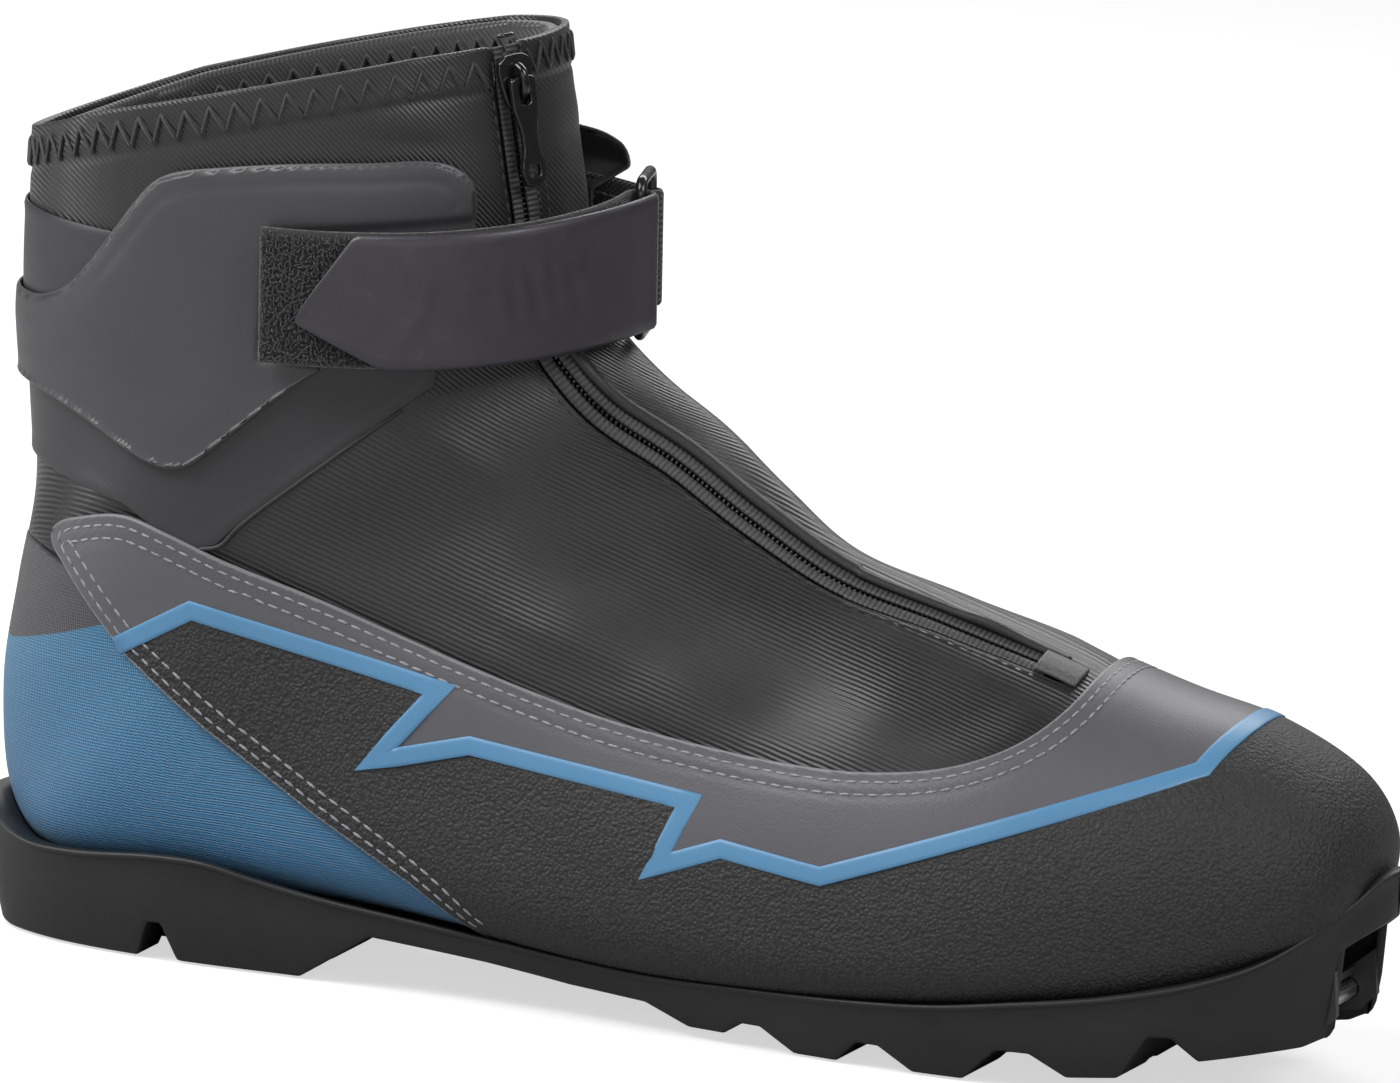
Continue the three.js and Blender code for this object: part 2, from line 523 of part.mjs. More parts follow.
const endRings = [];
for (let i = 1; i <= front; i += 1) {
  const inner = passAt(i);
  const half = halfStrap * (i === 1 ? 0.62 : 1);
  endRings.push([onStrap(i, inner, -half), onStrap(i, inner + strapThickness, -half),
    onStrap(i, inner + strapThickness, half), onStrap(i, inner, half)]);
}
const endTip = onStrap(1, passAt(1) + strapThickness / 2, 0)
  .add(new THREE.Vector3(-5 * along, 0, -2));
const hinge = onStrap(front, foldGap + strapThickness, 0);
const hingeTrim = box([60, 40, 80], [hinge.x, hinge.y + 20 - 0.35, hinge.z]);
addPiece('strap_end', loft(endRings, endTip).subtract(hingeTrim), 0x2b2730, 0.45);
addPiece('strap_hook_patch', band(2, 4, () => hookGap, hookThickness, () => halfStrap - 3),
  0x151517, 0.95);

// Rectangular wire ring: one bar in the fold of the strap, the other in the inner tab.
const ringLength = 17;
const ringTurn = THREE.MathUtils.degToRad(18);
const ringAlong = foldAlong.clone().applyAxisAngle(new THREE.Vector3(0, 0, 1), ringTurn);
const farBar = barCentre.clone().addScaledVector(ringAlong, ringLength);
const ringHalf = halfStrap + clearance + ringWire / 2 + 0.4;
const ringUp = new THREE.Vector3(lean, 0, 1);
const corner = (bar, side) => bar.clone().addScaledVector(ringUp, side * ringHalf);
const ringCorners = [corner(barCentre, -1), corner(barCentre, 1), corner(farBar, 1),
  corner(farBar, -1)];
let ring = null;
ringCorners.forEach((p, i) => {
  const next = ringCorners[(i + 1) % 4];
  const wire = rod(p, next, ringWire / 2, 10);
  const ball = solid(new THREE.SphereGeometry(ringWire / 2, 8, 6).translate(p.x, p.y, p.z));
  ring = ring ? ring.add(wire).add(ball) : wire.add(ball);
});
addPiece('strap_ring', ring, 0x111113, 0.4, 0.6);

// Tab on the inner side: a band folded round the far bar and fixed on the cuff.
const tabThickness = 1.2;
const tabInner = ringWire / 2 + clearance;
const tabRadius = tabInner + tabThickness;
const tabHalf = halfStrap - 2;
const tabLine = [[0, 0, tabRadius], [-5, 4.5, tabThickness + 0.2], [-11, 7.6, tabThickness],
  [-17, 11, tabThickness], [-24, 15, tabThickness]];
const tabRings = tabLine.map(([x, y, half], i) => {
  const [x0, y0] = tabLine[Math.max(i - 1, 0)];
  const [x1, y1] = tabLine[Math.min(i + 1, tabLine.length - 1)];
  const side = new THREE.Vector3(y1 - y0, x0 - x1, 0).normalize();
  const middle = farBar.clone().add(new THREE.Vector3(x * along, y * across, 0));
  return [[-half, -tabHalf], [half, -tabHalf], [half, tabHalf], [-half, tabHalf]].map(
    ([outward, height]) => middle.clone().addScaledVector(side, outward)
      .addScaledVector(ringUp, height));
});
const barRod = (half, radius) => rod(farBar.clone().addScaledVector(ringUp, -half),
  farBar.clone().addScaledVector(ringUp, half), radius, 14);
const tab = loft(tabRings).add(barRod(tabHalf, tabRadius)).subtract(barRod(tabHalf + 2, tabInner))
  .subtract(inside(cuffOut - clearance));
addPiece('strap_ring_tab', tab, 0x3a393e, 0.7);

// ---------- slider and puller ----------
// Frame of the slider: middle of its foot on the zip line, near the rim.
const sliderSlice = 18.05;
const zipAt = (t) => {
  const i = Math.max(1, zipLine.findIndex(([stop]) => stop >= t));
  const [[t0, y0], [t1, y1]] = [zipLine[i - 1], zipLine[i]];
  const y = y0 + ((y1 - y0) * (t - t0)) / (t1 - t0);
  return layerPoint(t, angleAt(t, y), tapeOut);
};
const slideTop = zipAt(sliderSlice);
const slideLow = zipAt(sliderSlice - 2);
const down = slideLow.clone().sub(slideTop).normalize();
const outFromZip = skinNormal(sliderSlice, angleAt(sliderSlice, slideTop.y));
outFromZip.addScaledVector(down, -outFromZip.dot(down)).normalize();
const sideways = outFromZip.clone().cross(down).normalize();
const sliderFrame = new THREE.Matrix4().makeBasis(sideways, outFromZip, down)
  .setPosition(slideTop);
function onSlider(geometry) {
  return solid(geometry.applyMatrix4(sliderFrame));
}
const liftOff = 1.3; // air under the slider, the skin bends a little along its way
const plateThickness = 1.4;
const bridgeHeight = 2.6;
const sliderOutline = [[-0.5, -0.42], [-0.3, -0.5], [0.3, -0.5], [0.5, -0.42], [0.5, 0.1],
  [0.34, 0.5], [-0.34, 0.5], [-0.5, 0.1]].map(([a, b]) =>
  new THREE.Vector2(a * sliderWidth, -b * sliderLength));
const sliderPlate = onSlider(new THREE.ExtrudeGeometry(new THREE.Shape(sliderOutline),
  { depth: plateThickness, bevelEnabled: false }).rotateX(-Math.PI / 2)
  .translate(0, liftOff, 0));
const neck = onSlider(new THREE.BoxGeometry(tapeGap, liftOff + 1, 3)
  .translate(0, (liftOff + 1) / 2 - 0.5, -sliderLength / 4));
const pivotRise = liftOff + plateThickness + 1.2;
const pivotRadius = 0.7;
const bridge = onSlider(new THREE.BoxGeometry(2, bridgeHeight + 0.2, 5)
  .translate(0, liftOff + plateThickness + bridgeHeight / 2 - 0.1, 0));
const onSliderPoint = (x, y, z) => new THREE.Vector3(x, y, z).applyMatrix4(sliderFrame);
const pivotRod = (half, radius) => rod(onSliderPoint(-half, pivotRise, 0),
  onSliderPoint(half, pivotRise, 0), radius, 10);
const slider = sliderPlate.add(neck).add(bridge.subtract(pivotRod(3, pivotRadius + 0.25)));
addPiece('zip_slider', slider, 0x121214, 0.25, 0.8);

// The puller hangs from a pin through the bridge and ends in a drop with a slot.
const armGap = 1 + clearance;
const armWidth = 1.1;
const armLength = 4.6;
const pullerThickness = 1.3;
const dropShape = new THREE.Shape([[-0.5, 0.12], [0.5, 0.12], [0.5, 0.3], [0.36, 0.5],
  [0.34, 0.62], [0.5, 0.78], [0.46, 0.92], [0.26, 1], [-0.26, 1], [-0.46, 0.92], [-0.5, 0.78],
  [-0.34, 0.62], [-0.36, 0.5], [-0.5, 0.3]].map(([a, b]) =>
  new THREE.Vector2(a * pullerWidth, -b * pullerLength)));
dropShape.holes.push(new THREE.Path([[-0.28, 0.88], [0.28, 0.88], [0.28, 0.77], [-0.28, 0.77]]
  .map(([a, b]) => new THREE.Vector2(a, -b * pullerLength))));
let puller = onSlider(new THREE.ExtrudeGeometry(dropShape,
  { depth: pullerThickness, bevelEnabled: false }).rotateX(-Math.PI / 2)
  .translate(0, pivotRise - pullerThickness / 2, 0));
for (const side of [-1, 1]) {
  puller = puller.add(onSlider(new THREE.BoxGeometry(armWidth, pullerThickness, armLength)
    .translate(side * (armGap + armWidth / 2), pivotRise, armLength / 2 - pullerThickness / 2)));
}
puller = puller.add(pivotRod(armGap + armWidth / 2, pivotRadius - 0.1));
puller = puller.subtract(onSlider(new THREE.BoxGeometry(2 * armGap, 6, 6.2)
  .translate(0, pivotRise, 0)).subtract(pivotRod(6, pivotRadius - 0.1)));
addPiece('zip_puller', puller, 0x1a1a1c, 0.3, 0.8);

// ---------- stand it on the floor, origin under the middle ----------
const bounds = new THREE.Box3().setFromObject(boot);
const centre = bounds.getCenter(new THREE.Vector3());
for (const piece of boot.children) {
  piece.geometry.translate(-centre.x, -centre.y, -bounds.min.z);
}
export default boot;
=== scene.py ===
import math
import bmesh
import bpy
import numpy as np
from mathutils import Matrix, Vector
from mathutils.kdtree import KDTree


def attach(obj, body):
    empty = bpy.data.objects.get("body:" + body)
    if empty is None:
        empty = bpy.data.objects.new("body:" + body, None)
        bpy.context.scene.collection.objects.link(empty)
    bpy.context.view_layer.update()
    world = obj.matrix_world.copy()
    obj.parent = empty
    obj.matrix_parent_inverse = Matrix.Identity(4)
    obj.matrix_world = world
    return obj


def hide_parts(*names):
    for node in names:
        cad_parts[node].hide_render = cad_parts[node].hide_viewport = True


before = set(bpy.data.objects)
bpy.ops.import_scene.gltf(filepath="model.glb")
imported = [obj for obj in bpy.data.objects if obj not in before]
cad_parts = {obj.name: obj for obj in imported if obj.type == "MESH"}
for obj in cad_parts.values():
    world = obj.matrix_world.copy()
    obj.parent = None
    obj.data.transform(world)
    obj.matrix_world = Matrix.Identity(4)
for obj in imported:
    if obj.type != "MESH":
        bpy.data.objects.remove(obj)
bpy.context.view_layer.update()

# ---------------------------------------------------------------- studio
# A long lens a few steps from the boot, on its outer side and a little above it,
# tilted so that the toe drops to the right. Large soft lamps over a pale floor.
turn, rise, tilt = math.radians(17.0), math.radians(10.5), math.radians(4.4)
distance = 7.0
aim = Vector((0.00154, -0.00963, 0.0972))
toward = Vector((math.sin(turn) * math.cos(rise), -math.cos(turn) * math.cos(rise), math.sin(rise)))
level = Vector((math.cos(turn), math.sin(turn), 0))
upright = toward.cross(level)


def show(thing):
    bpy.context.scene.collection.objects.link(thing)


camera = bpy.data.objects.new("boot_camera", bpy.data.cameras.new("boot_camera"))
camera.data.lens, camera.data.sensor_width = 882, 36
across_view = level * math.cos(tilt) + upright * math.sin(tilt)
up_view = upright * math.cos(tilt) - level * math.sin(tilt)
camera.matrix_world = Matrix.Translation(aim + toward * distance) @ Matrix(
    (across_view, up_view, toward)).transposed().to_4x4()
show(camera)
bpy.context.scene.camera = camera
bpy.context.scene.view_settings.view_transform = "Standard"


def add_node(tree, kind, inputs=None, **settings):
    node = tree.nodes.new(kind)
    for name, value in settings.items():
        setattr(node, name, value)
    for name, value in (inputs or {}).items():
        if isinstance(value, bpy.types.NodeSocket):
            tree.links.new(value, node.inputs[name])
        else:
            node.inputs[name].default_value = value
    return node


def soft_lamp(name, at, size, watts, tint=(1, 1, 1)):
    lamp = bpy.data.objects.new(name, bpy.data.lights.new(name, "AREA"))
    lamp.data.shape, lamp.data.size, lamp.data.size_y = "RECTANGLE", size[0], size[1]
    lamp.data.energy, lamp.data.color = watts, tint
    lamp.matrix_world = Matrix.Translation(at) @ (
        aim - Vector(at)).to_track_quat("-Z", "Y").to_matrix().to_4x4()
    show(lamp)


soft_lamp("lamp_over_heel", (-0.75, -0.75, 1.15), (0.9, 0.7), 20)
soft_lamp("lamp_over_toe", (1.0, -0.5, 1.0), (0.8, 0.6), 9)
soft_lamp("lamp_low", (0.25, -1.5, 0.42), (1.4, 0.4), 3)
soft_lamp("lamp_beside_heel", (-1.25, -0.3, 0.6), (0.35, 0.9), 7)
soft_lamp("lamp_behind", (-0.1, 1.1, 0.95), (1.6, 0.5), 12)

world = bpy.data.worlds.new("studio")
world.use_nodes = True
bpy.context.scene.world = world
sky = world.node_tree
sky.nodes.clear()
seen = add_node(sky, "ShaderNodeLightPath")
pale = add_node(sky, "ShaderNodeMix", {0: seen.outputs["Is Camera Ray"], 2: 0.13, 3: 0.93})
backdrop = add_node(sky, "ShaderNodeBackground", {"Color": (1, 1, 1, 1), "Strength": pale.outputs[0]})
add_node(sky, "ShaderNodeOutputWorld", {"Surface": backdrop.outputs[0]})

floor_mesh = bpy.data.meshes.new("floor")
edge = [(30 * math.cos(k * math.pi / 32), 30 * math.sin(k * math.pi / 32), -0.0004)
        for k in range(64)]
floor_mesh.from_pydata(edge, [], [list(range(64))])
floor = bpy.data.objects.new("floor", floor_mesh)
show(floor)
floor_paint = bpy.data.materials.new("floor_paint")
floor_paint.use_nodes = True
floor_shader = floor_paint.node_tree.nodes["Principled BSDF"]
floor_grey, floor_glow = 0.42, 0.62
floor_shader.inputs["Base Color"].default_value = (floor_grey, floor_grey, floor_grey, 1)
floor_shader.inputs["Emission Color"].default_value = (1, 1, 1, 1)
glow = add_node(floor_paint.node_tree, "ShaderNodeLightPath")
shine = add_node(floor_paint.node_tree, "ShaderNodeMath",
                 {0: glow.outputs["Is Camera Ray"], 1: floor_glow}, operation="MULTIPLY")
floor_paint.node_tree.links.new(shine.outputs[0], floor_shader.inputs["Emission Strength"])
floor_shader.inputs["Roughness"].default_value = 0.9
floor_mesh.materials.append(floor_paint)

# ---------------------------------------------------------------- outsole
# One moulded rubber cup: a heel block, a thin waist, lugs under the ball and two cheeks
# beside the open recess for the binding. A rounded lip runs round the upper.
# Sizes are in millimetres from the back of the heel (x), the middle (y, inner side
# positive) and the floor (z); place() turns them into the frame of the model.
drawn_middle = np.array([146.756, -0.372, 0.0])


def place(points):
    return (np.asarray(points, float) - drawn_middle) / 1000


# The last, in slices from the tip of the toe to the rim: top x and z, foot x and z,
# half width, shift to the inner side, how far up it is widest, roundness below and above.
last = np.array([
    [295, 45, 295, 45, 0, 6, .36, 2.2, 2.2], [292.5, 55, 290, 35, 19, 6, .34, 2.3, 2.2],
    [284.5, 65, 281, 26.5, 29.5, 5.5, .32, 2.5, 2.15], [268, 73, 263, 17.5, 38.5, 4.5, .28, 2.9, 2.15],
    [249, 77.5, 242, 13.2, 45, 3, .26, 3.2, 2.1], [227, 84.5, 215, 10.2, 48.5, 1, .25, 3.3, 2],
    [203, 91.5, 185, 8.4, 47, -1, .25, 3.4, 1.9], [181, 98.5, 152, 8.6, 43.5, -2, .25, 3.5, 1.8],
    [163.5, 109.5, 118, 11.6, 40.5, -2, .27, 3.8, 1.75], [148.5, 121, 84, 14.2, 38.5, -1, .33, 4.2, 1.8],
    [134.5, 130, 50, 14.8, 37.5, 0, .4, 4.4, 1.85], [125.5, 137.5, 18.5, 14.9, 37.5, 0, .46, 3.6, 1.95],
    [120.8, 144, 3, 24.6, 38, 0, .48, 2.3, 2.05], [118.2, 151, -1.2, 48, 39, 0, .48, 2.15, 2.15],
    [116.2, 158, .2, 70, 40, 0, .48, 2.05, 2.2], [114.4, 165, 2.2, 90, 40.5, 0, .49, 2, 2.3],
    [112.6, 172.5, .2, 110, 41, 0, .5, 2, 2.3], [110.8, 181, -2.6, 130, 41.5, 0, .5, 2, 2.3],
    [108.9, 190, -3.6, 149, 41.5, 0, .5, 2, 2.3], [107.2, 199, -4, 167, 41.5, 0, .5, 2, 2.3],
    [105.2, 212, -4, 184, 41.5, 0, .5, 2, 2.3]])
last_slice = len(last) - 1


def unit(vectors):
    return vectors / np.maximum(np.linalg.norm(vectors, axis=-1, keepdims=True), 1e-9)


def lengths(points):
    """Distance run at each point of a line."""
    return np.r_[0, np.cumsum(np.linalg.norm(np.diff(points, axis=0), axis=1))]


def slice_at(t):
    t = np.clip(np.asarray(t, float), 0, last_slice)
    i = np.minimum(np.floor(t).astype(int), last_slice - 1)
    f = (t - i)[..., None]
    b, c = last[i], last[i + 1]
    a = np.where((i > 0)[..., None], last[np.maximum(i - 1, 0)], 2 * b - c)
    d = np.where((i < last_slice - 1)[..., None], last[np.minimum(i + 2, last_slice)], 2 * c - b)
    return .5 * (2 * b + (c - a) * f + (2 * a - 5 * b + 4 * c - d) * f ** 2 + (3 * b - a - 3 * c + d) * f ** 3)


def skin(t, angle):
    """Point of the last: slice t, angle from the foot (0) up the outer side to the top (pi)."""
    row = slice_at(t)
    top_x, top_z, foot_x, foot_z, half, shift, widest, below, above = (row[..., k] for k in range(9))
    c, s = np.cos(angle), np.sin(angle)
    power = np.where(c > 0, below, above)
    up = np.abs(c) ** (2 / power)
    share = np.where(c > 0, widest * (1 - up), widest + (1 - widest) * up)
    return np.stack([foot_x + (top_x - foot_x) * share,
                     shift - half * np.abs(s) ** (2 / power) * np.sign(s),
                     foot_z + (top_z - foot_z) * share], -1)


def outward(t, angle):
    t, angle = np.broadcast_arrays(np.asarray(t, float), np.asarray(angle, float))
    t_low, t_high = np.maximum(t - .02, .01), np.minimum(t + .02, last_slice)
    round_boot = skin(t, angle + .02) - skin(t, angle - .02)
    normal = np.cross(round_boot, skin(t_high, angle) - skin(t_low, angle))
    return unit(normal)


def from_side(x, z, side):
    """Slice and angle of the skin where it is seen at x, z from the outer (-1) or inner (1) side."""
    x, z = np.atleast_1d(x).astype(float), np.atleast_1d(z).astype(float)
    stops = np.linspace(0.02, last_slice, 1600)
    row = slice_at(stops)
    top, foot = row[:, :2], row[:, 2:4]
    run = top - foot
    place_at = np.stack([x, z], -1)[:, None] - foot[None]
    turned = run[None, :, 0] * place_at[..., 1] - run[None, :, 1] * place_at[..., 0]
    share = (run[None] * place_at).sum(-1) / (run ** 2).sum(-1)[None]
    off = np.abs(turned) / np.linalg.norm(run, axis=1)[None] + 60 * np.clip(np.abs(share - .5) - .5, 0, 9)
    best = off.argmin(1)
    low, high = stops[np.maximum(best - 1, 0)], stops[np.minimum(best + 1, len(stops) - 1)]
    for _ in range(18):
        t = (low + high) / 2
        row = slice_at(t)
        run = row[:, :2] - row[:, 2:4]
        here = run[:, 0] * (z - row[:, 3]) - run[:, 1] * (x - row[:, 2])
        same = here * turned[np.arange(len(x)), np.maximum(best - 1, 0)] > 0
        low, high = np.where(same, t, low), np.where(same, high, t)
    row = slice_at(t)
    run = row[:, :2] - row[:, 2:4]
    share = np.clip(((np.stack([x, z], -1) - row[:, 2:4]) * run).sum(-1) / (run ** 2).sum(-1), 0, 1)
    widest, below, above = row[:, 6], row[:, 7], row[:, 8]
    under = share < widest
    up = np.where(under, 1 - share / widest, (share - widest) / (1 - widest))
    cosine = np.clip(up, 0, 1) ** (np.where(under, below, above) / 2)
    angle = np.arccos(np.where(under, cosine, -cosine))
    return t, (angle if side < 0 else 2 * math.pi - angle)


def new_piece(name, points, faces, material, smooth=True, indexes=None):
    mesh = bpy.data.meshes.new(name)
    mesh.from_pydata([tuple(p) for p in np.asarray(points)], [], [tuple(map(int, f)) for f in faces])
    for m in (material if isinstance(material, (list, tuple)) else [material]):
        mesh.materials.append(m)
    if indexes is not None:
        mesh.polygons.foreach_set("material_index", np.asarray(indexes, np.int32))
    if smooth:
        mesh.polygons.foreach_set("use_smooth", [True] * len(mesh.polygons))
    mesh.update()
    piece = bpy.data.objects.new(name, mesh)
    show(piece)
    return piece


def paint(shader, value):
    shader.id_data.links.new(value, shader.inputs["Base Color"])


def polish(shader, value):
    shader.id_data.links.new(value, shader.inputs["Roughness"])


def finish_piece(piece, body, slot, *nodes):
    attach(piece, body)
    if nodes:
        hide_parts(*nodes)
    return piece


def weld(piece, gap=1e-6):
    work = bmesh.new()
    work.from_mesh(piece.data)
    bmesh.ops.remove_doubles(work, verts=work.verts, dist=gap)
    bmesh.ops.dissolve_degenerate(work, edges=work.edges, dist=gap)
    bmesh.ops.recalc_face_normals(work, faces=work.faces)
    work.to_mesh(piece.data)
    work.free()


def loft_faces(rings, count, closed_ends=True):
    faces = []
    for i in range(rings - 1):
        for j in range(count):
            k = (j + 1) % count
            faces.append((i * count + j, i * count + k, (i + 1) * count + k, (i + 1) * count + j))
    if closed_ends:
        faces.append(tuple(reversed(range(count))))
        faces.append(tuple(range((rings - 1) * count, rings * count)))
    else:
        last_row = (rings - 1) * count
        faces += [(last_row + j, last_row + (j + 1) % count, (j + 1) % count, j) for j in range(count)]
    return faces


def lofted(rings):
    """Points and faces of a closed body through rings of points in drawn millimetres."""
    rings = np.asarray(rings)
    return place(rings.reshape(-1, 3)), loft_faces(len(rings), rings.shape[1])


def surface(name, colour, roughness, **sockets):
    """New material; returns it, its tree and its shader."""
    material = bpy.data.materials.new(name)
    material.use_nodes = True
    tree = material.node_tree
    shader = tree.nodes["Principled BSDF"]
    shader.inputs["Base Color"].default_value = (*colour, 1)
    shader.inputs["Roughness"].default_value = roughness
    for socket, value in sockets.items():
        shader.inputs[socket.replace("_", " ")].default_value = value
    return material, tree, shader


def grain(tree, scale, detail=4, roughness=.55, kind="ShaderNodeTexNoise", **settings):
    where = add_node(tree, "ShaderNodeTexCoord")
    inputs = {"Vector": where.outputs["Object"], "Scale": scale}
    if kind == "ShaderNodeTexNoise":
        inputs.update(Detail=detail, Roughness=roughness)
    return add_node(tree, kind, inputs, **settings)


def ramp(tree, source, stops, name="Color"):
    node = add_node(tree, "ShaderNodeValToRGB", {"Fac": source})
    while len(node.color_ramp.elements) < len(stops):
        node.color_ramp.elements.new(.5)
    for element, (at, colour) in zip(node.color_ramp.elements, stops):
        element.position = at
        element.color = (*colour, 1) if len(colour) == 3 else colour
    return node.outputs[name]


def rising(tree, value, low, high):
    """Node that goes from 0 to 1 as a value goes from low to high."""
    return add_node(tree, "ShaderNodeMapRange", {"Value": value, "From Min": low, "From Max": high})


def measured(tree, name):
    """A measure that the mesh carries at its points."""
    return add_node(tree, "ShaderNodeAttribute", attribute_name=name).outputs["Fac"]


def grey(value):
    return (value, value, value)


def bump(tree, shader, height, strength, depth, below=None):
    inputs = {"Height": height, "Strength": strength, "Distance": depth}
    if below is not None:
        inputs["Normal"] = below.outputs["Normal"]
    node = add_node(tree, "ShaderNodeBump", inputs)
    tree.links.new(node.outputs["Normal"], shader.inputs["Normal"])
    return node


def calc(tree, operation, a, b=0.0, c=0.0):
    node = add_node(tree, "ShaderNodeMath", operation=operation)
    for socket, value in zip(node.inputs, (a, b, c)):
        if isinstance(value, bpy.types.NodeSocket):
            tree.links.new(value, socket)
        else:
            socket.default_value = value
    return node.outputs[0]


def between(tree, a, b, share):
    """Colour between a and b."""
    node = add_node(tree, "ShaderNodeMix", data_type="RGBA")
    for index, value in ((0, share), (6, a), (7, b)):
        if isinstance(value, bpy.types.NodeSocket):
            tree.links.new(value, node.inputs[index])
        else:
            node.inputs[index].default_value = value if index == 0 else (*value, 1)
    return node.outputs[2]


# Moulded rubber: nearly black, satin, with a fine spark-eroded grain and lighter scuffs.
rubber, tree, shader = surface("moulded_rubber", (.012, .012, .013), .5, Specular_IOR_Level=.45)
fine = grain(tree, 2600, 3)
broad = grain(tree, 60, 5)
paint(shader, ramp(tree, broad.outputs["Fac"], [(.3, (.0085, .0085, .0095)), (.75, (.0165, .0165, .018))]))
polish(shader, ramp(tree, broad.outputs["Fac"], [(.3, grey(.42)), (.8, grey(.6))]))
bump(tree, shader, fine.outputs["Fac"], .35, .00012)

lip_line = np.array([
    [-8, 27], [0, 26], [3, 24.6], [7, 22.4], [14, 20.4], [26, 20.5], [44, 22.3], [55, 22.3], [66, 20.2],
    [79, 18], [99, 15.8], [117, 14], [134, 12.6], [152, 11.8], [170, 12.4], [188, 13.2], [201, 14],
    [216, 15.3], [231, 17.6], [251, 20.8], [270, 25.6], [279, 29.5], [287, 35.5], [292, 40.5],
    [296, 45], [304, 49]], float)
tread_line = np.array([
    [304, 44], [296.5, 30], [291, 12.5], [287, 10.4], [269.8, 7.7], [264, 12.6], [259.5, 12.6],
    [254.5, 3.4], [244, 2.6], [236, 7], [229, 7], [222, 0], [211, 0], [203.5, 4.6], [198.5, 4.6],
    [194, 0], [184.5, 0], [177, 4.6], [172.5, 4.6], [168.5, 1.8], [160.5, 1.8], [151, 5.6],
    [134, 6.6], [116, 8.6], [91, 10.6], [76, 0], [49.5, 0], [46, 7.6], [43, 7.6], [40.5, 0],
    [-8, 0]], float)[::-1]
recess_roof = np.array([[262, 9.5], [272, 14.5], [284, 23.5], [292, 31], [306, 42]], float)
sole_plan = np.array([
    [296, -1, 13], [292, -8, 20], [285, -17.5, 29.5], [275, -27.5, 38], [262, -36, 44],
    [247, -41.5, 47.2], [229, -44.8, 48], [206, -45.5, 46], [180, -42.8, 40], [151, -38, 33.5],
    [125, -34.6, 30.4], [100, -33.8, 30.8], [76, -34.6, 33], [53, -35.6, 34.8], [33, -34, 33.6],
    [19, -30, 30], [9, -24, 24], [3.5, -18, 18], [0, -9.5, 9.5]], float)
recess_y, recess_half = 5.0, 15.8
groove_tops = 4.2


def smooth_line(points, per_span=24, closed=False):
    """Catmull-Rom curve through the points, spaced by the distance between them."""
    points = np.asarray(points, float)
    n = len(points)
    spans = n if closed else n - 1
    out = []
    for i in range(spans):
        pick = (lambda k: points[k % n]) if closed else (
            lambda k: 2 * points[0] - points[1] if k < 0 else
            2 * points[-1] - points[-2] if k >= n else points[k])
        p0, p1, p2, p3 = pick(i - 1), pick(i), pick(i + 1), pick(i + 2)
        d = [max(np.linalg.norm(q - p), 1e-6) ** .5 for p, q in ((p0, p1), (p1, p2), (p2, p3))]
        m1 = ((p1 - p0) / d[0] - (p2 - p0) / (d[0] + d[1]) + (p2 - p1) / d[1]) * d[1]
        m2 = ((p2 - p1) / d[1] - (p3 - p1) / (d[1] + d[2]) + (p3 - p2) / d[2]) * d[1]
        f = np.linspace(0, 1, per_span, endpoint=False)[:, None]
        out.append((2 * f ** 3 - 3 * f ** 2 + 1) * p1 + (f ** 3 - 2 * f ** 2 + f) * m1
                   + (3 * f ** 2 - 2 * f ** 3) * p2 + (f ** 3 - f ** 2) * m2)
    if not closed:
        out.append(points[-1:])
    return np.concatenate(out)


edge_loop = smooth_line(np.concatenate([[[298, 6]], sole_plan[:, [0, 1]], [[-1.2, 0]],
                                        sole_plan[::-1][:, [0, 2]]]), 60, closed=True)
ahead = np.roll(edge_loop, -1, 0) - np.roll(edge_loop, 1, 0)
edge_out = np.stack([ahead[:, 1], -ahead[:, 0]], -1) * -1
edge_out = unit(edge_out)
if ((edge_loop - [150, 0]) * edge_out).sum() < 0:
    edge_out = -edge_out
toe_end, heel_end = edge_loop[:, 0].argmax(), edge_loop[:, 0].argmin()
ways = [np.arange(toe_end, heel_end + 1), np.r_[np.arange(heel_end, len(edge_loop)), toe_end]]
outer_way, inner_way = ways[0][::-1], ways[1]

stations = list((edge_loop[heel_end, 0] + (edge_loop[toe_end, 0] - edge_loop[heel_end, 0])
                 * (1 - np.cos(np.linspace(0, math.pi, 330))) / 2))
for x in tread_line[1:-1, 0]:
    stations += [x - .55, x, x + .55]
stations = np.array(sorted(stations))
stations = stations[np.r_[True, np.diff(stations) > .02]]
stations = stations[(stations >= edge_loop[heel_end, 0]) & (stations <= edge_loop[toe_end, 0])]
# corners of the tread rounded over about a millimetre
soft_x = np.linspace(-8, 304, 3121)
soft_z = np.interp(soft_x, tread_line[:, 0], tread_line[:, 1])
weights = np.hanning(15)
soft_z = np.convolve(np.pad(soft_z, 7, mode="edge"), weights / weights.sum(), "valid")
lip_z = np.interp(soft_x, *smooth_line(lip_line, 16).T)

# how wide the ledge of the lip is, from the wall in to the upper
slices, angles = np.meshgrid(np.linspace(.05, 14, 420), np.linspace(0, 2 * math.pi, 361), indexing="ij")
skin_cloud = skin(slices, angles).reshape(-1, 3)
near_lip = np.abs(skin_cloud[:, 2] - np.interp(skin_cloud[:, 0], soft_x, lip_z)) < .7
at_lip = skin_cloud[near_lip]
lip_tree = KDTree(len(at_lip))
for k, p in enumerate(at_lip):
    lip_tree.insert((p[0], p[1], 0), k)
lip_tree.balance()


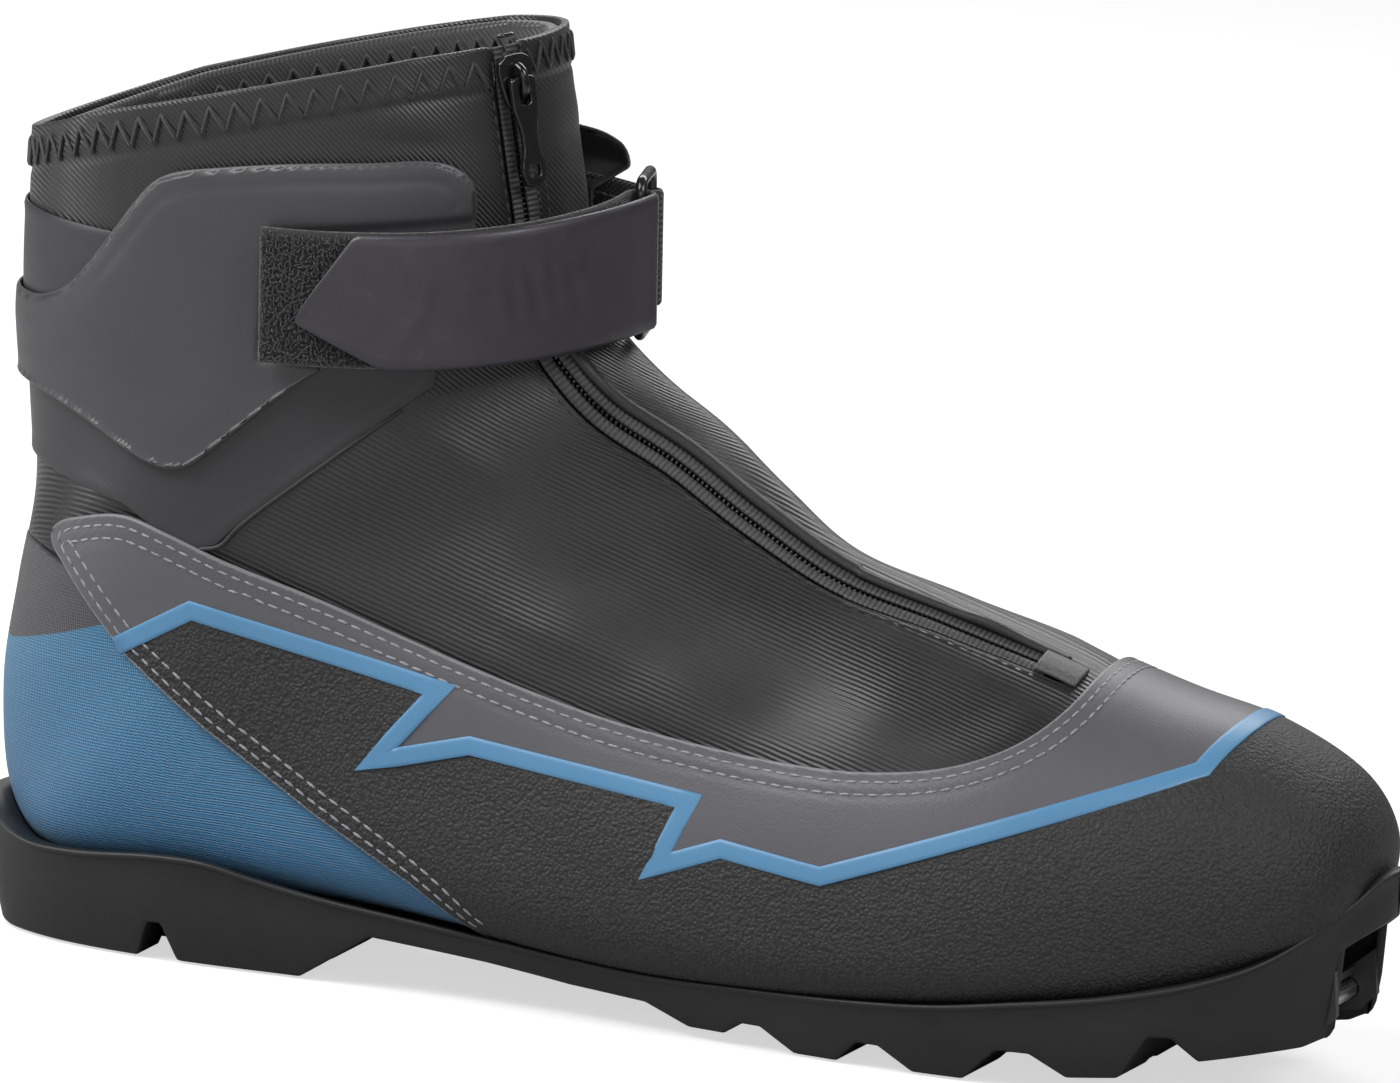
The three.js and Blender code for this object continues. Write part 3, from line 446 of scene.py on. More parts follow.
def sole_side(way):
    """Plan position, outward direction and ledge width at each station of one side."""
    x = edge_loop[way][:, 0]
    order = np.argsort(x, kind="stable")
    at = np.interp(stations, x[order], order.astype(float))
    low = np.clip(np.floor(at).astype(int), 0, len(way) - 2)
    f = (at - low)[:, None]
    p = edge_loop[way][low] * (1 - f) + edge_loop[way][low + 1] * f
    n = edge_out[way][low] * (1 - f) + edge_out[way][low + 1] * f
    n = unit(n)
    ledge = np.array([lip_tree.find((q[0], q[1], 0))[2] for q in p])
    ledge = np.convolve(np.pad(ledge, 6, mode="edge"), np.ones(13) / 13, "valid")
    return p, n, np.clip(ledge - .2, .8, 6)


sides = [sole_side(outer_way), sole_side(inner_way)]
bead = .7
rings = []
for k, x in enumerate(stations):
    z_top, z_low = np.interp(x, soft_x, lip_z), np.interp(x, soft_x, soft_z)
    z_roof = max(z_low, np.interp(x, recess_roof[:, 0], recess_roof[:, 1]))
    floor_z = slice_at(from_side(x, z_top, -1)[0])[0, 3] - 1.2
    floor_z = min(max(np.interp(x, [20, 50, 84, 118, 152, 185, 215, 242, 263, 281, 290],
                                [14.3, 13.8, 13.2, 10.6, 7.6, 7.4, 9.2, 12.2, 16.5, 25.5, 34]), z_low + 1.2),
                  z_top - 1.5)
    bottoms = []
    half_rings = []
    for (p, n, ledge), sign in zip(sides, (-1, 1)):
        at, out, width = p[k], n[k], ledge[k]
        low_edge = z_roof if abs(at[1] - recess_y) < recess_half - .4 and x > 262 else z_low
        low_edge = min(low_edge, z_top - 2.2)
        grow = lambda z: np.interp(z, [-2, 10, 22], [-5, -1.5, 0])
        wall = []
        span = max(z_top - low_edge, 2.2)
        wall.append((-width - .12 * abs(at[1]) - 2.5, z_top - min(4.5, span * .7)))
        wall.append((-width - .6, z_top - 1.3))
        wall.append((-width + .1, z_top - .25))
        wall.append((-width * .5, z_top + .0))
        wall.append((-.5, z_top + .05))
        for turned in np.linspace(75, -80, 6):
            a = math.radians(turned)
            wall.append((bead * math.cos(a) - .1, z_top - bead + .05 + bead * math.sin(a)))
        wall.append((-.15, z_top - 2 * bead - .25))
        for f in (.25, .5, .75):
            wall.append((-.25, z_top - 1.7 + (low_edge + 1.0 - z_top + 1.7) * f))
        wall = [(o + (grow(z) if o > -1 else grow(z) * .0), z) for o, z in wall]
        for a, drop in ((0, 1.0), (.12, .55), (.45, .18), (1.0, 0.0)):
            wall.append((-.25 + grow(low_edge + drop) - a, low_edge + drop))
        half_rings.append([(*(at + out * o), z) for o, z in wall])
        bottoms.append(half_rings[-1][-1])
    y_low, y_high = bottoms[0][1], bottoms[1][1]
    blend_on = np.clip((x - 259.8) / 2, 0, 1)
    y_groove = np.array([-16.3, -15.7, -12, -8.3, -7.7, 13.7, 14.3, 18, 21.7, 22.3])
    y_recess = np.array([-11.1, -10.5, -6, -1, 3, 8, 13, 17, 20.5, 21.1])
    flags = np.array([0, 1, 1, 1, 0, 0, 1, 1, 1, 0]) if blend_on < .5 else np.array([0] + [1] * 8 + [0])
    ys = y_groove + (y_recess - y_groove) * blend_on
    middle_y = (y_low + y_high) / 2
    limit = max((y_high - y_low) / 2 - .5, .01)
    ys = middle_y + np.clip(ys - middle_y, -limit, limit)
    line = [((bottoms[0][0] + bottoms[1][0]) / 2, y,
             (max(z_low, groove_tops) if blend_on < .5 else z_roof) if flag else
             max(z_low, min(bottoms[0][2], bottoms[1][2]))) for y, flag in zip(ys, flags)]
    inner_floor = []
    for f in np.linspace(1, 0, 8)[1:-1]:
        a, b = half_rings[0][0], half_rings[1][0]
        inner_floor.append((a[0] + (b[0] - a[0]) * f, a[1] + (b[1] - a[1]) * f,
                            floor_z + (min(a[2], b[2]) - floor_z) * abs(2 * f - 1) ** 4))
    rings.append(half_rings[0] + line + half_rings[1][::-1] + inner_floor)
ring_size = len(rings[0])
outsole = new_piece("outsole_rubber", place(np.array(rings).reshape(-1, 3)),
                    loft_faces(len(rings), ring_size), rubber)
weld(outsole, 2e-6)
finish_piece(outsole, "boot", "outsole_rubber", "outsole")

# ---------------------------------------------------------------- toe bar and its bracket
# A round steel bar crosses the recess under the toe, where the binding takes hold.
# It is turned from stainless rod and held by a moulded nylon bracket.
steel, tree, shader = surface("brushed_steel", (.56, .57, .58), .28, Metallic=1.0)
where = add_node(tree, "ShaderNodeTexCoord")
drawn_out = add_node(tree, "ShaderNodeMapping", {"Vector": where.outputs["Object"], "Scale": (3000, 60, 3000)})
lines = add_node(tree, "ShaderNodeTexNoise", {"Vector": drawn_out.outputs[0], "Scale": 1.0, "Detail": 3})
polish(shader, ramp(tree, lines.outputs["Fac"], [(.3, grey(.2)), (.7, grey(.38))]))
paint(shader, ramp(tree, lines.outputs["Fac"], [(.25, (.45, .46, .47)), (.7, (.62, .63, .64))]))
bar_at, bar_length = np.array([285, 5, 17.5]), 31
profile = [(-bar_length / 2, 0), (-bar_length / 2, 1.5), (-bar_length / 2 + .15, 1.85), (-bar_length / 2 + .5,
    2.0)]
profile += [(y, 2.0) for y in np.linspace(-14, 14, 9)]
profile += [(-y, r) for y, r in profile[3::-1]]
sides_round = 40
turned = [[bar_at[0] + r * math.cos(a), bar_at[1] + y, bar_at[2] + r * math.sin(a)]
          for y, r in profile for a in np.linspace(0, 2 * math.pi, sides_round, endpoint=False)]
toe_bar = new_piece("toe_bar_steel", place(turned), loft_faces(len(profile), sides_round, False), steel)
weld(toe_bar)
finish_piece(toe_bar, "boot", "bar_steel", "toe_bar")

nylon, tree, shader = surface("glass_filled_nylon", (.02, .02, .021), .48)
speck = grain(tree, 1800, 5)
paint(shader, ramp(tree, speck.outputs["Fac"], [(.3, grey(.014)), (.8, grey(.03))]))
bump(tree, shader, speck.outputs["Fac"], .3, .0001)
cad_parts["toe_bar_bracket"].data.materials.clear()
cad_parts["toe_bar_bracket"].data.materials.append(nylon)

# ---------------------------------------------------------------- boards inside
# Pressed fibre board under the foot, a stiffener of impregnated felt in the toe box and a
# loose footbed of foam with a brushed cover. Board and stiffener are glued in and hidden.
board, tree, shader = surface("fibre_board", (.3, .23, .15), .85)
fibres = grain(tree, 700, 6)
paint(shader, ramp(tree, fibres.outputs["Fac"], [(.3, (.24, .18, .11)), (.7, (.38, .3, .2))]))
bump(tree, shader, fibres.outputs["Fac"], .4, .0002)
for hidden in ("lasting_board", "toe_puff"):
    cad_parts[hidden].data.materials.clear()
    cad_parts[hidden].data.materials.append(board)

felt, tree, shader = surface("brushed_cover", (.03, .031, .036), .95, Sheen_Weight=.4, Sheen_Roughness=.5)
fuzz = grain(tree, 1500, 6, .7)
paint(shader, ramp(tree, fuzz.outputs["Fac"], [(.3, (.018, .018, .021)), (.75, (.05, .051, .058))]))
bump(tree, shader, fuzz.outputs["Fac"], .7, .0004)
bed_x = np.linspace(9, 281, 90)
bed_z = np.interp(bed_x, soft_x, lip_z) + 7
bed_rings = []
for x, z in zip(bed_x, bed_z):
    reach = []
    for side in (-1, 1):
        t, a = from_side(x, z, side)
        edge_point = skin(t, a)[0] - outward(t, a)[0] * 6.4
        reach.append(edge_point[1])
    y0, y1 = reach
    if y1 - y0 < 2:
        y0, y1 = (y0 + y1) / 2 - 1, (y0 + y1) / 2 + 1
    f = np.linspace(0, 1, 17)
    top = [(x, y0 + (y1 - y0) * g, z - 1.6 * math.sin(math.pi * g) + .3) for g in f]
    under = [(x, y0 + (y1 - y0) * g, z - 1.6 * math.sin(math.pi * g) - 3.2) for g in f[::-1]]
    bed_rings += top + under
footbed = new_piece("footbed_foam", place(bed_rings), loft_faces(len(bed_x), 34), felt)
weld(footbed)
finish_piece(footbed, "boot", "footbed_foam", "footbed")

# ---------------------------------------------------------------- heel overlay
# Heel counter cover: a printed mesh fabric, grey above and blue below, pulled over a
# hidden counter and stitched under the rand. It is cut flat and lasted round the heel.


def inside_line(points, outline):
    """Millimetres inside a closed side view outline, negative outside."""
    outline = np.asarray(outline, float)
    nxt = np.roll(outline, -1, 0)
    out = np.empty(len(points))
    for start in range(0, len(points), 20000):
        p = points[start:start + 20000, None]
        run = (nxt - outline)[None]
        off = p - outline[None]
        f = np.clip((off * run).sum(-1) / np.maximum((run ** 2).sum(-1), 1e-9), 0, 1)
        far = np.linalg.norm(off - run * f[..., None], axis=-1).min(1)
        crosses = (outline[None, :, 1] > p[..., 1]) != (nxt[None, :, 1] > p[..., 1])
        dz = np.where(run[..., 1] == 0, 1, run[..., 1])
        hits = crosses & (p[..., 0] < run[..., 0] * off[..., 1] / dz + outline[None, :, 0])
        out[start:start + 20000] = np.where(hits.sum(1) % 2 == 1, far, -far)
    return out


def skin_grid(t_from, t_to, pitch):
    """Slices and angles of an even net of points over the last."""
    fine = np.linspace(t_from, t_to, 1500)
    probe = np.stack([skin(fine, np.full_like(fine, a)) for a in np.linspace(0, math.pi, 9)])
    travel = np.r_[0, np.cumsum(np.linalg.norm(np.diff(probe, axis=1), axis=-1).max(0))]
    rows = np.interp(np.linspace(0, travel[-1], max(2, int(travel[-1] / pitch) + 1)), travel, fine)
    dense = np.linspace(0, math.pi, 241)
    girths, found = [], []
    for t in rows:
        outline = skin(np.full_like(dense, t), dense)
        length = lengths(outline)
        girths.append(length[-1])
        found.append(length)
    half_count = max(8, int(max(girths) / pitch))
    net = []
    for length in found:
        way = np.interp(np.linspace(0, length[-1], half_count + 1), length, dense)
        net.append(np.r_[way, 2 * math.pi - way[-2:0:-1]])
    return np.repeat(rows[:, None], 2 * half_count, 1), np.array(net)


def cut_sheet(t_from, t_to, pitch, measure):
    """Cuts a sheet from the net: measure(points, slices, angles) is the way in from its edge.
    Corners of the net nearest the edge are moved onto it, so the cut is clean."""
    t_net, a_net = skin_grid(t_from, t_to, pitch)
    rows, columns = t_net.shape
    t, a = t_net.ravel().copy(), a_net.ravel().copy()
    points = skin(t, a)
    way_in = measure(points, t, a)
    index = np.arange(rows * columns).reshape(rows, columns)
    edges = np.concatenate([
        np.stack([index[:-1].ravel(), index[1:].ravel()], 1),
        np.stack([index.ravel(), np.roll(index, -1, 1).ravel()], 1)])
    v0, v1 = edges.T
    crossing = way_in[v0] * way_in[v1] < 0
    v0, v1 = v0[crossing], v1[crossing]
    share = way_in[v0] / (way_in[v0] - way_in[v1])
    near_first = share < .5
    mover = np.where(near_first, v0, v1)
    other = np.where(near_first, v1, v0)
    step = np.where(near_first, share, 1 - share)
    order = np.argsort(-step)
    new_t, new_a = t.copy(), a.copy()
    for k in order:
        m, o = mover[k], other[k]
        turn_gap = (a[o] - a[m] + math.pi) % (2 * math.pi) - math.pi
        new_t[m] = t[m] + (t[o] - t[m]) * step[k]
        new_a[m] = a[m] + turn_gap * step[k]
    moved = np.unique(mover)
    t, a = new_t, new_a
    way_in[moved] = 0
    faces = []
    corner = np.stack([index[:-1], np.roll(index, -1, 1)[:-1], np.roll(index, -1, 1)[1:], index[1:]], -1)
    corner = corner.reshape(-1, 4)
    levels = way_in[corner]
    good = (levels >= 0).all(1) & (levels > 0).any(1)
    for quad in corner[good]:
        faces.append(tuple(quad))
    mixed = (levels > 0).any(1) & (levels < 0).any(1)
    for quad, level in zip(corner[mixed], levels[mixed]):
        for k in range(4):
            if level[k] > 0 and level[k - 1] == 0 and level[(k + 1) % 4] == 0:
                faces.append((quad[k - 1], quad[k], quad[(k + 1) % 4]))
    if t_from < .1:
        tip = [index[0, k] for k in range(columns)]
        if (way_in[tip] > 0).all():
            faces.append(tuple(tip[::-1]))
    used = sorted({v for f in faces for v in f})
    renumber = {v: k for k, v in enumerate(used)}
    faces = [tuple(renumber[v] for v in f) for f in faces]
    t, a = t[used], a[used]
    directed = {}
    for f in faces:
        for k in range(len(f)):
            directed[(f[k], f[(k + 1) % len(f)])] = True
    border = [e for e in directed if (e[1], e[0]) not in directed]
    return {"t": t, "a": a, "faces": faces, "border": border}


def border_loops(sheet):
    follow = {}
    for v, w in sheet["border"]:
        follow.setdefault(v, []).append(w)
    loops = []
    while follow:
        start = next(iter(follow))
        loop, at = [start], start
        while follow.get(at):
            nxt = follow[at].pop()
            if not follow[at]:
                del follow[at]
            if nxt == start:
                break
            loop.append(nxt)
            at = nxt
        loops.append(loop)
    return sorted(loops, key=len, reverse=True)


def edge_distance(sheet, keep=None):
    """Millimetres from each point of a sheet to its edge."""
    points = skin(sheet["t"], sheet["a"])
    lines = [e for e in sheet["border"] if keep is None or keep(points[e[0]])]
    tree = KDTree(len(lines) * 3)
    for k, (v, w) in enumerate(lines):
        for f in (0, .33, .67):
            tree.insert(points[v] * (1 - f) + points[w] * f, k)
    tree.balance()
    return np.array([tree.find(p)[2] for p in points])


def shell(name, sheet, outer, inner, material, rim=.5, carried=None, rim_index=0):
    """Closed sheet between two heights over the skin, with a rounded rim."""
    t, a = sheet["t"], sheet["a"]
    points, normals = skin(t, a), outward(t, a)
    outer, inner = np.broadcast_to(outer, t.shape).astype(float), np.broadcast_to(inner, t.shape).astype(float)
    sideways = np.zeros_like(points)
    for v, w in sheet["border"]:
        run = points[w] - points[v]
        for k in (v, w):
            out = np.cross(run, normals[k])
            sideways[k] += out
    on_rim = sorted({v for e in sheet["border"] for v in e})
    length = np.linalg.norm(sideways[on_rim], axis=1, keepdims=True)
    sideways[on_rim] = sideways[on_rim] / np.maximum(length, 1e-9)
    top = points + normals * outer[:, None]
    low = points + normals * inner[:, None]
    top[on_rim] -= sideways[on_rim] * rim
    low[on_rim] -= sideways[on_rim] * rim
    n = len(t)
    where_rim = {v: k for k, v in enumerate(on_rim)}
    turns = [60, 25, -25, -60]
    middle = (outer + inner)[on_rim, None] / 2
    half = (outer - inner)[on_rim, None] / 2
    rows = [points[on_rim] + normals[on_rim] * (middle + half * math.sin(math.radians(d)))
            + sideways[on_rim] * rim * (math.cos(math.radians(d)) - 1) for d in turns]
    vertices = np.concatenate([top, low] + rows)
    m = len(on_rim)
    row_of = lambda v: [v] + [2 * n + r * m + where_rim[v] for r in range(len(turns))] + [n + v]
    faces = list(sheet["faces"]) + [tuple(n + v for v in reversed(f)) for f in sheet["faces"]]
    kinds = [0] * len(faces)
    for v, w in sheet["border"]:
        rv, rw = row_of(v), row_of(w)
        for k in range(len(rv) - 1):
            faces.append((rw[k], rv[k], rv[k + 1], rw[k + 1]))
            kinds.append(rim_index)
    piece = new_piece(name, place(vertices), faces, material, indexes=kinds)
    for label, values in (carried or {}).items():
        every = np.concatenate([values, values] + [values[on_rim]] * len(turns)).astype(np.float32)
        piece.data.attributes.new(label, "FLOAT", "POINT").data.foreach_set("value", every)
    return piece


def girth_place(sheet):
    """Millimetres round the slice from the foot line, inner side negative."""
    t, a = sheet["t"], sheet["a"]
    dense = np.linspace(0, math.pi, 181)
    out = np.empty(len(t))
    keys = np.round(t * 25).astype(int)
    for key in np.unique(keys):
        pick = keys == key
        outline = skin(np.full_like(dense, max(key / 25, .02)), dense)
        length = lengths(outline)
        angle = np.mod(a[pick], 2 * math.pi)
        out[pick] = np.where(angle <= math.pi, np.interp(angle, dense, length),
                             -np.interp(2 * math.pi - angle, dense, length))
    return out


def mesh_fabric(tree, pitch):
    """Height of a fine fabric woven in two slanting directions, from the piece's own measures."""
    across = measured(tree, "round_boot")
    up = measured(tree, "up_boot")
    k = 2 * math.pi / pitch
    one = calc(tree, "SINE", calc(tree, "MULTIPLY", calc(tree, "ADD", across, up), k))
    two = calc(tree, "SINE", calc(tree, "MULTIPLY", calc(tree, "SUBTRACT", across, up), k))
    return calc(tree, "MULTIPLY", one, two)


heel_seam = np.array([[123, 10], [101, 24], [78, 36], [54, 50], [35, 63], [19, 78]], float)
heel_top = np.array([[-12, 81], [8, 81], [16, 79]], float)
heel_cut = np.concatenate([heel_top, heel_seam[::-1] + [6, 0], [[132, 2], [100, 2], [14, 8], [-20, 22],
    [-30, 40]]])
low_lip = lambda p: p[:, 2] - (np.interp(p[:, 0], soft_x, lip_z) - 7)

heel_print, tree, shader = surface("printed_heel_mesh", (.06, .22, .42), .55, Sheen_Weight=.15,
                                   Specular_IOR_Level=.4)
weave = mesh_fabric(tree, .0013)
zone = measured(tree, "above_line")
height_here = measured(tree, "up_boot")
fade = rising(tree, height_here, .018, .062)
blue = between(tree, (.022, .14, .3), (.072, .235, .41), fade.outputs[0])
mottle = grain(tree, 90, 4)
blue = between(tree, blue, (.035, .19, .37), calc(tree, "MULTIPLY", mottle.outputs["Fac"], .35))
charcoal = between(tree, (.064, .063, .073), (.085, .083, .094), mottle.outputs["Fac"])
inked = between(tree, blue, charcoal, rising(tree, zone, -.0001, .0001).outputs[0])
threads = rising(tree, weave, -.7, .7)
dark_gap = add_node(tree, "ShaderNodeMix", {0: .5, 6: inked, 7: (0, 0, 0, 1)}, data_type="RGBA")
paint(shader, between(tree, dark_gap.outputs[2], inked, threads.outputs[0]))
bump(tree, shader, weave, .7, .0002)

heel_sheet = cut_sheet(7.2, 15.2, 1.3, lambda p, t, a: np.minimum(
    inside_line(p[:, [0, 2]], heel_cut), low_lip(p)))
p = skin(heel_sheet["t"], heel_sheet["a"])
heel_line = np.interp(p[:, 0], [-5, 4, 20, 34, 60], [59.5, 60, 64.9, 69.9, 80])
heel = shell("heel_overlay_fabric", heel_sheet, -1.0, -2.6, heel_print, .4, {
    "round_boot": girth_place(heel_sheet) / 1000, "up_boot": p[:, 2] / 1000,
    "above_line": (p[:, 2] - heel_line) / 1000})
finish_piece(heel, "boot", "heel_fabric", "heel_overlay")

# ---------------------------------------------------------------- rand
# Moulded film sheet round the foot: pebbled black below, smooth charcoal above, cut out
# in one piece, hot-pressed over the toe and double stitched along its raw upper edge.
rand_top = smooth_line(np.array([
    [19, 79.2], [16, 82], [15, 85], [17, 87.4], [22, 89.6], [33, 92], [44, 89.5], [56, 85.5], [75, 80.5],
    [97, 74],
    [120, 68], [142, 63.5], [163, 61], [180, 60], [197, 60.5], [214, 63.5], [226, 69], [233, 76],
    [236.5, 86]]), 6)
rand_cut = np.concatenate([rand_top, [[236.5, 130], [340, 130], [340, -20], [123, -20]], heel_seam[:-1]])
stripe_side = np.array([[33.5, 64.6], [49.5, 74.4], [104, 64.9], [91.1, 48.6], [111.7, 54.6], [160.3, 49.9],
                        [154.7, 36], [168.5, 41.5], [190.5, 39], [261.8, 66.2]])

rand_film, tree, shader = surface("rand_film", (.09, .09, .1), .5)
zone = measured(tree, "above_line")
is_smooth = rising(tree, zone, -.0003, .0003).outputs[0]
cloud = grain(tree, 35, 5)
pores = grain(tree, 1900, 3)
charcoal = between(tree, (.077, .075, .086), (.097, .095, .106), cloud.outputs["Fac"])
pebbles = grain(tree, 1500, kind="ShaderNodeTexVoronoi", feature="SMOOTH_F1")
# painted highlight and shade: the tops of the pebbles are painted lighter and the dips between them darker; in
# random patches the pebbles fade to a flat dark grey
tone = ramp(tree, pebbles.outputs["Distance"], [(.05, grey(.03)), (.55, grey(.008))])
mottled_texture = between(tree, tone, (.022, .022, .024), calc(tree, "MULTIPLY", cloud.outputs["Fac"], .5))
edge_in = measured(tree, "edge_in")
fray_noise = grain(tree, 2600, 2)
raw = calc(tree, "LESS_THAN", calc(tree, "ADD", edge_in, calc(tree, "MULTIPLY", fray_noise.outputs["Fac"],
    .0006)), .00062)
body_colour_and_painted_highlights = between(tree, mottled_texture, charcoal, is_smooth)
paint(shader, between(tree, body_colour_and_painted_highlights, (.16, .16, .17), raw))
rough = add_node(tree, "ShaderNodeMix", {0: is_smooth, 2: .62, 3: .43})
polish(shader, rough.outputs[0])
pebble_part = calc(tree, "MULTIPLY", calc(tree, "SUBTRACT", 1.0, is_smooth), calc(tree, "MULTIPLY",
    pebbles.outputs["Distance"], -1.0))
bumps = calc(tree, "ADD", pebble_part, calc(tree, "MULTIPLY", pores.outputs["Fac"], .22))
bump(tree, shader, bumps, .85, .00042)

rand_sheet = cut_sheet(.03, 15.2, 1.34, lambda p, t, a: np.minimum(
    inside_line(p[:, [0, 2]], rand_cut), low_lip(p)))
p = skin(rand_sheet["t"], rand_sheet["a"])
upper_zone = np.concatenate([stripe_side, [[266.1, 72.7], [266.1, 130], [-20, 130], [-20, 50]]])
rand_edge = edge_distance(rand_sheet, lambda q: q[2] > np.interp(q[0], soft_x, lip_z) - 3)
seam_dip = .28 * np.exp(-((rand_edge - 2.3) / .7) ** 2) + .28 * np.exp(-((rand_edge - 5.0) / .7) ** 2)
puff = .12 * np.exp(-((rand_edge - 3.65) / .8) ** 2) * (rand_edge > 1)
heave = .18 * np.sin(p[:, 0] / 17 + 1.3 * np.sin(p[:, 2] / 11)) * np.clip((rand_edge - 8) / 10, 0, 1)
rand = shell("rand_film_sheet", rand_sheet, .38 - seam_dip + puff + heave, -.9, rand_film, .42, {
    "above_line": inside_line(p[:, [0, 2]], upper_zone) / 1000, "edge_in": rand_edge / 1000})
finish_piece(rand, "boot", "rand_skin", "rand")


def skin_shift(t, a, by, rounds=4):
    """Slices and angles after a move over the skin by the given vectors, in millimetres."""
    t, a = np.array(t, float), np.array(a, float)
    start = t.copy(), a.copy()
    goal = skin(t, a) + by
    for _ in range(rounds):
        here = skin(t, a)
        dt = (skin(np.minimum(t + .01, last_slice), a) - skin(np.maximum(t - .01, .01), a)) / .02
        da = (skin(t, a + .01) - skin(t, a - .01)) / .02
        gap = goal - here
        m11, m12, m22 = (dt * dt).sum(-1), (dt * da).sum(-1), (da * da).sum(-1)
        r1, r2 = (dt * gap).sum(-1), (da * gap).sum(-1)
        det = np.maximum(m11 * m22 - m12 ** 2, 1e-6)
        t = np.clip(t + np.clip((m22 * r1 - m12 * r2) / det, -.5, .5), .02, last_slice)
        a = a + np.clip((m11 * r2 - m12 * r1) / det, -.3, .3)
    # on the flanks the side view gives the place directly
    first_t, first_a = start
    flank = np.abs(outward(first_t, first_a)[..., 1]) > .5
    for side in (-1, 1):
        pick = flank & (np.sign(-np.sin(first_a)) == side)
        if pick.any():
            ft, fa = from_side(goal[pick][:, 0], goal[pick][:, 2], side)
            t[pick], a[pick] = ft, fa + 2 * math.pi * np.round((first_a[pick] - fa) / (2 * math.pi))
    return t, a


def even_path(t, a, pitch, closed=False):
    """The same way over the skin with its stops an even distance apart."""
    t, a = np.asarray(t, float), np.unwrap(np.asarray(a, float))
    if closed:
        t, a = np.r_[t, t[0]], np.r_[a, a[0] + round((a[-1] - a[0]) / (2 * math.pi)) * 2 * math.pi]
    length = lengths(skin(t, a))
    count = max(2, int(round(length[-1] / pitch)) + 1)
    at = np.linspace(0, length[-1], count)
    return np.interp(at, length, t), np.interp(at, length, a)


def side_path(points, side, pitch=1.0):
    """A way over the skin that is straight in the side view between the given points."""
    points = np.asarray(points, float)
    length = lengths(points)
    spans = [np.linspace(p, q, max(2, int(round((q - p) / pitch)) + 1))[:-1]
             for p, q in zip(length, length[1:])]
    at = np.r_[np.concatenate(spans), length[-1]]
    return from_side(np.interp(at, length, points[:, 0]), np.interp(at, length, points[:, 1]), side)


def ribbon(name, t, a, profile, material, closed=False, carried=None, fit_ends=None, indexes=None):
    """Strip laid along a way over the skin. profile: (sideways, height) corners, going round;
    heights may be arrays along the way."""
    t, a = np.asarray(t, float), np.asarray(a, float)
    points, normals = skin(t, a), outward(t, a)
    n = len(t)
    before = points - np.roll(points, 1, 0)
    after = np.roll(points, -1, 0) - points
    if not closed:
        before[0], after[-1] = after[0], before[-1]
    s0, s1 = np.cross(before, normals), np.cross(after, normals)
    s0 = unit(s0)
    s1 = unit(s1)
    side = s0 + s1
    side = unit(side)
    mitre = 1 / np.maximum((side * s0).sum(1), .42)
    rings = np.empty((n, len(profile), 3))
    fit_ends = np.ones(n) if fit_ends is None else fit_ends
    for k, (sideways, height) in enumerate(profile):
        tt, aa = skin_shift(t, a, side * (mitre * fit_ends * sideways)[:, None])
        rings[:, k] = skin(tt, aa) + outward(tt, aa) * np.broadcast_to(height, n)[:, None]
    faces = loft_faces(n, len(profile), not closed)
    piece = new_piece(name, place(rings.reshape(-1, 3)), faces, material)
    for label, values in (carried or {}).items():
        piece.data.attributes.new(label, "FLOAT", "POINT").data.foreach_set(
            "value", np.repeat(values, len(profile)).astype(np.float32))
    weld(piece, 2e-7)
    return piece


# The blue line between the two zones is a band of film pressed on with crisp mitred corners.
blue_film, tree, shader = surface("blue_film", (.075, .24, .43), .42)
cloud = grain(tree, 50, 4)
pores = grain(tree, 1900, 3)
paint(shader, between(tree, (.07, .205, .365), (.09, .235, .405), cloud.outputs["Fac"]))
bump(tree, shader, pores.outputs["Fac"], .3, .00012)


def mitred_path(points, side, pitch, clear):
    """As side_path, with nothing between a corner and the stop that lies clear of it."""
    points = np.asarray(points, float)
    stops = []
    for p, q in zip(points, points[1:]):
        far = np.linalg.norm(q - p)
        stops += [p] + [p + (q - p) * d / far for d in np.arange(clear, far - clear, pitch)]
    stops = np.array(stops + [points[-1]])
    return from_side(stops[:, 0], stops[:, 1], side)


outer_t, outer_a = mitred_path(stripe_side, -1, 1.4, 4.8)
inner_t, inner_a = mitred_path(stripe_side, 1, 1.4, 4.8)
over_t, over_a = even_path([3.30, 3.16, 3.11, 3.10, 3.11, 3.16, 3.30],
                           [outer_a[-1], 2.8, 2.98, 3.14, 3.30, 3.48, inner_a[-1]], 1.4)
stripe_t = np.r_[outer_t, over_t[1:-1], inner_t[::-1]]
stripe_a = np.r_[outer_a, over_a[1:-1], inner_a[::-1]]
half_band = 1.95
stripe = ribbon("rand_blue_band", stripe_t, stripe_a, [
    (-half_band, .2), (-half_band, .5), (-half_band + .15, .62), (-1, .66), (0, .66), (1, .66),
    (half_band - .15, .62),
    (half_band, .5), (half_band, .2)], blue_film)
finish_piece(stripe, "boot", "rand_skin")

# ---------------------------------------------------------------- inner boot, tongue and collar roll
# The lining is brushed fleece over thin foam, cut short under a padded roll at the rim.
# A fleece tongue lies behind the slit that the zip closes.
rim_line = np.array([[-14, 161], [-4, 164.5], [20, 174], [44, 181], [65, 187], [87, 193], [106, 197],
                     [118, 199]], float)
zip_line = np.array([
    [5.05, -12], [5.5, -12.5], [6, -13], [6.6, -13.6], [7.3, -14], [8, -14.4], [8.7, -14.9], [9.4, -15.3],
    [10.1, -15.8], [10.8, -16.3], [11.5, -16.9], [12.3, -17.5], [13.2, -18], [14.1, -18.5], [15, -18.9],
    [16, -19.2], [17, -19.5], [18, -19.7], [19, -19.8], [19.6, -19.9]])


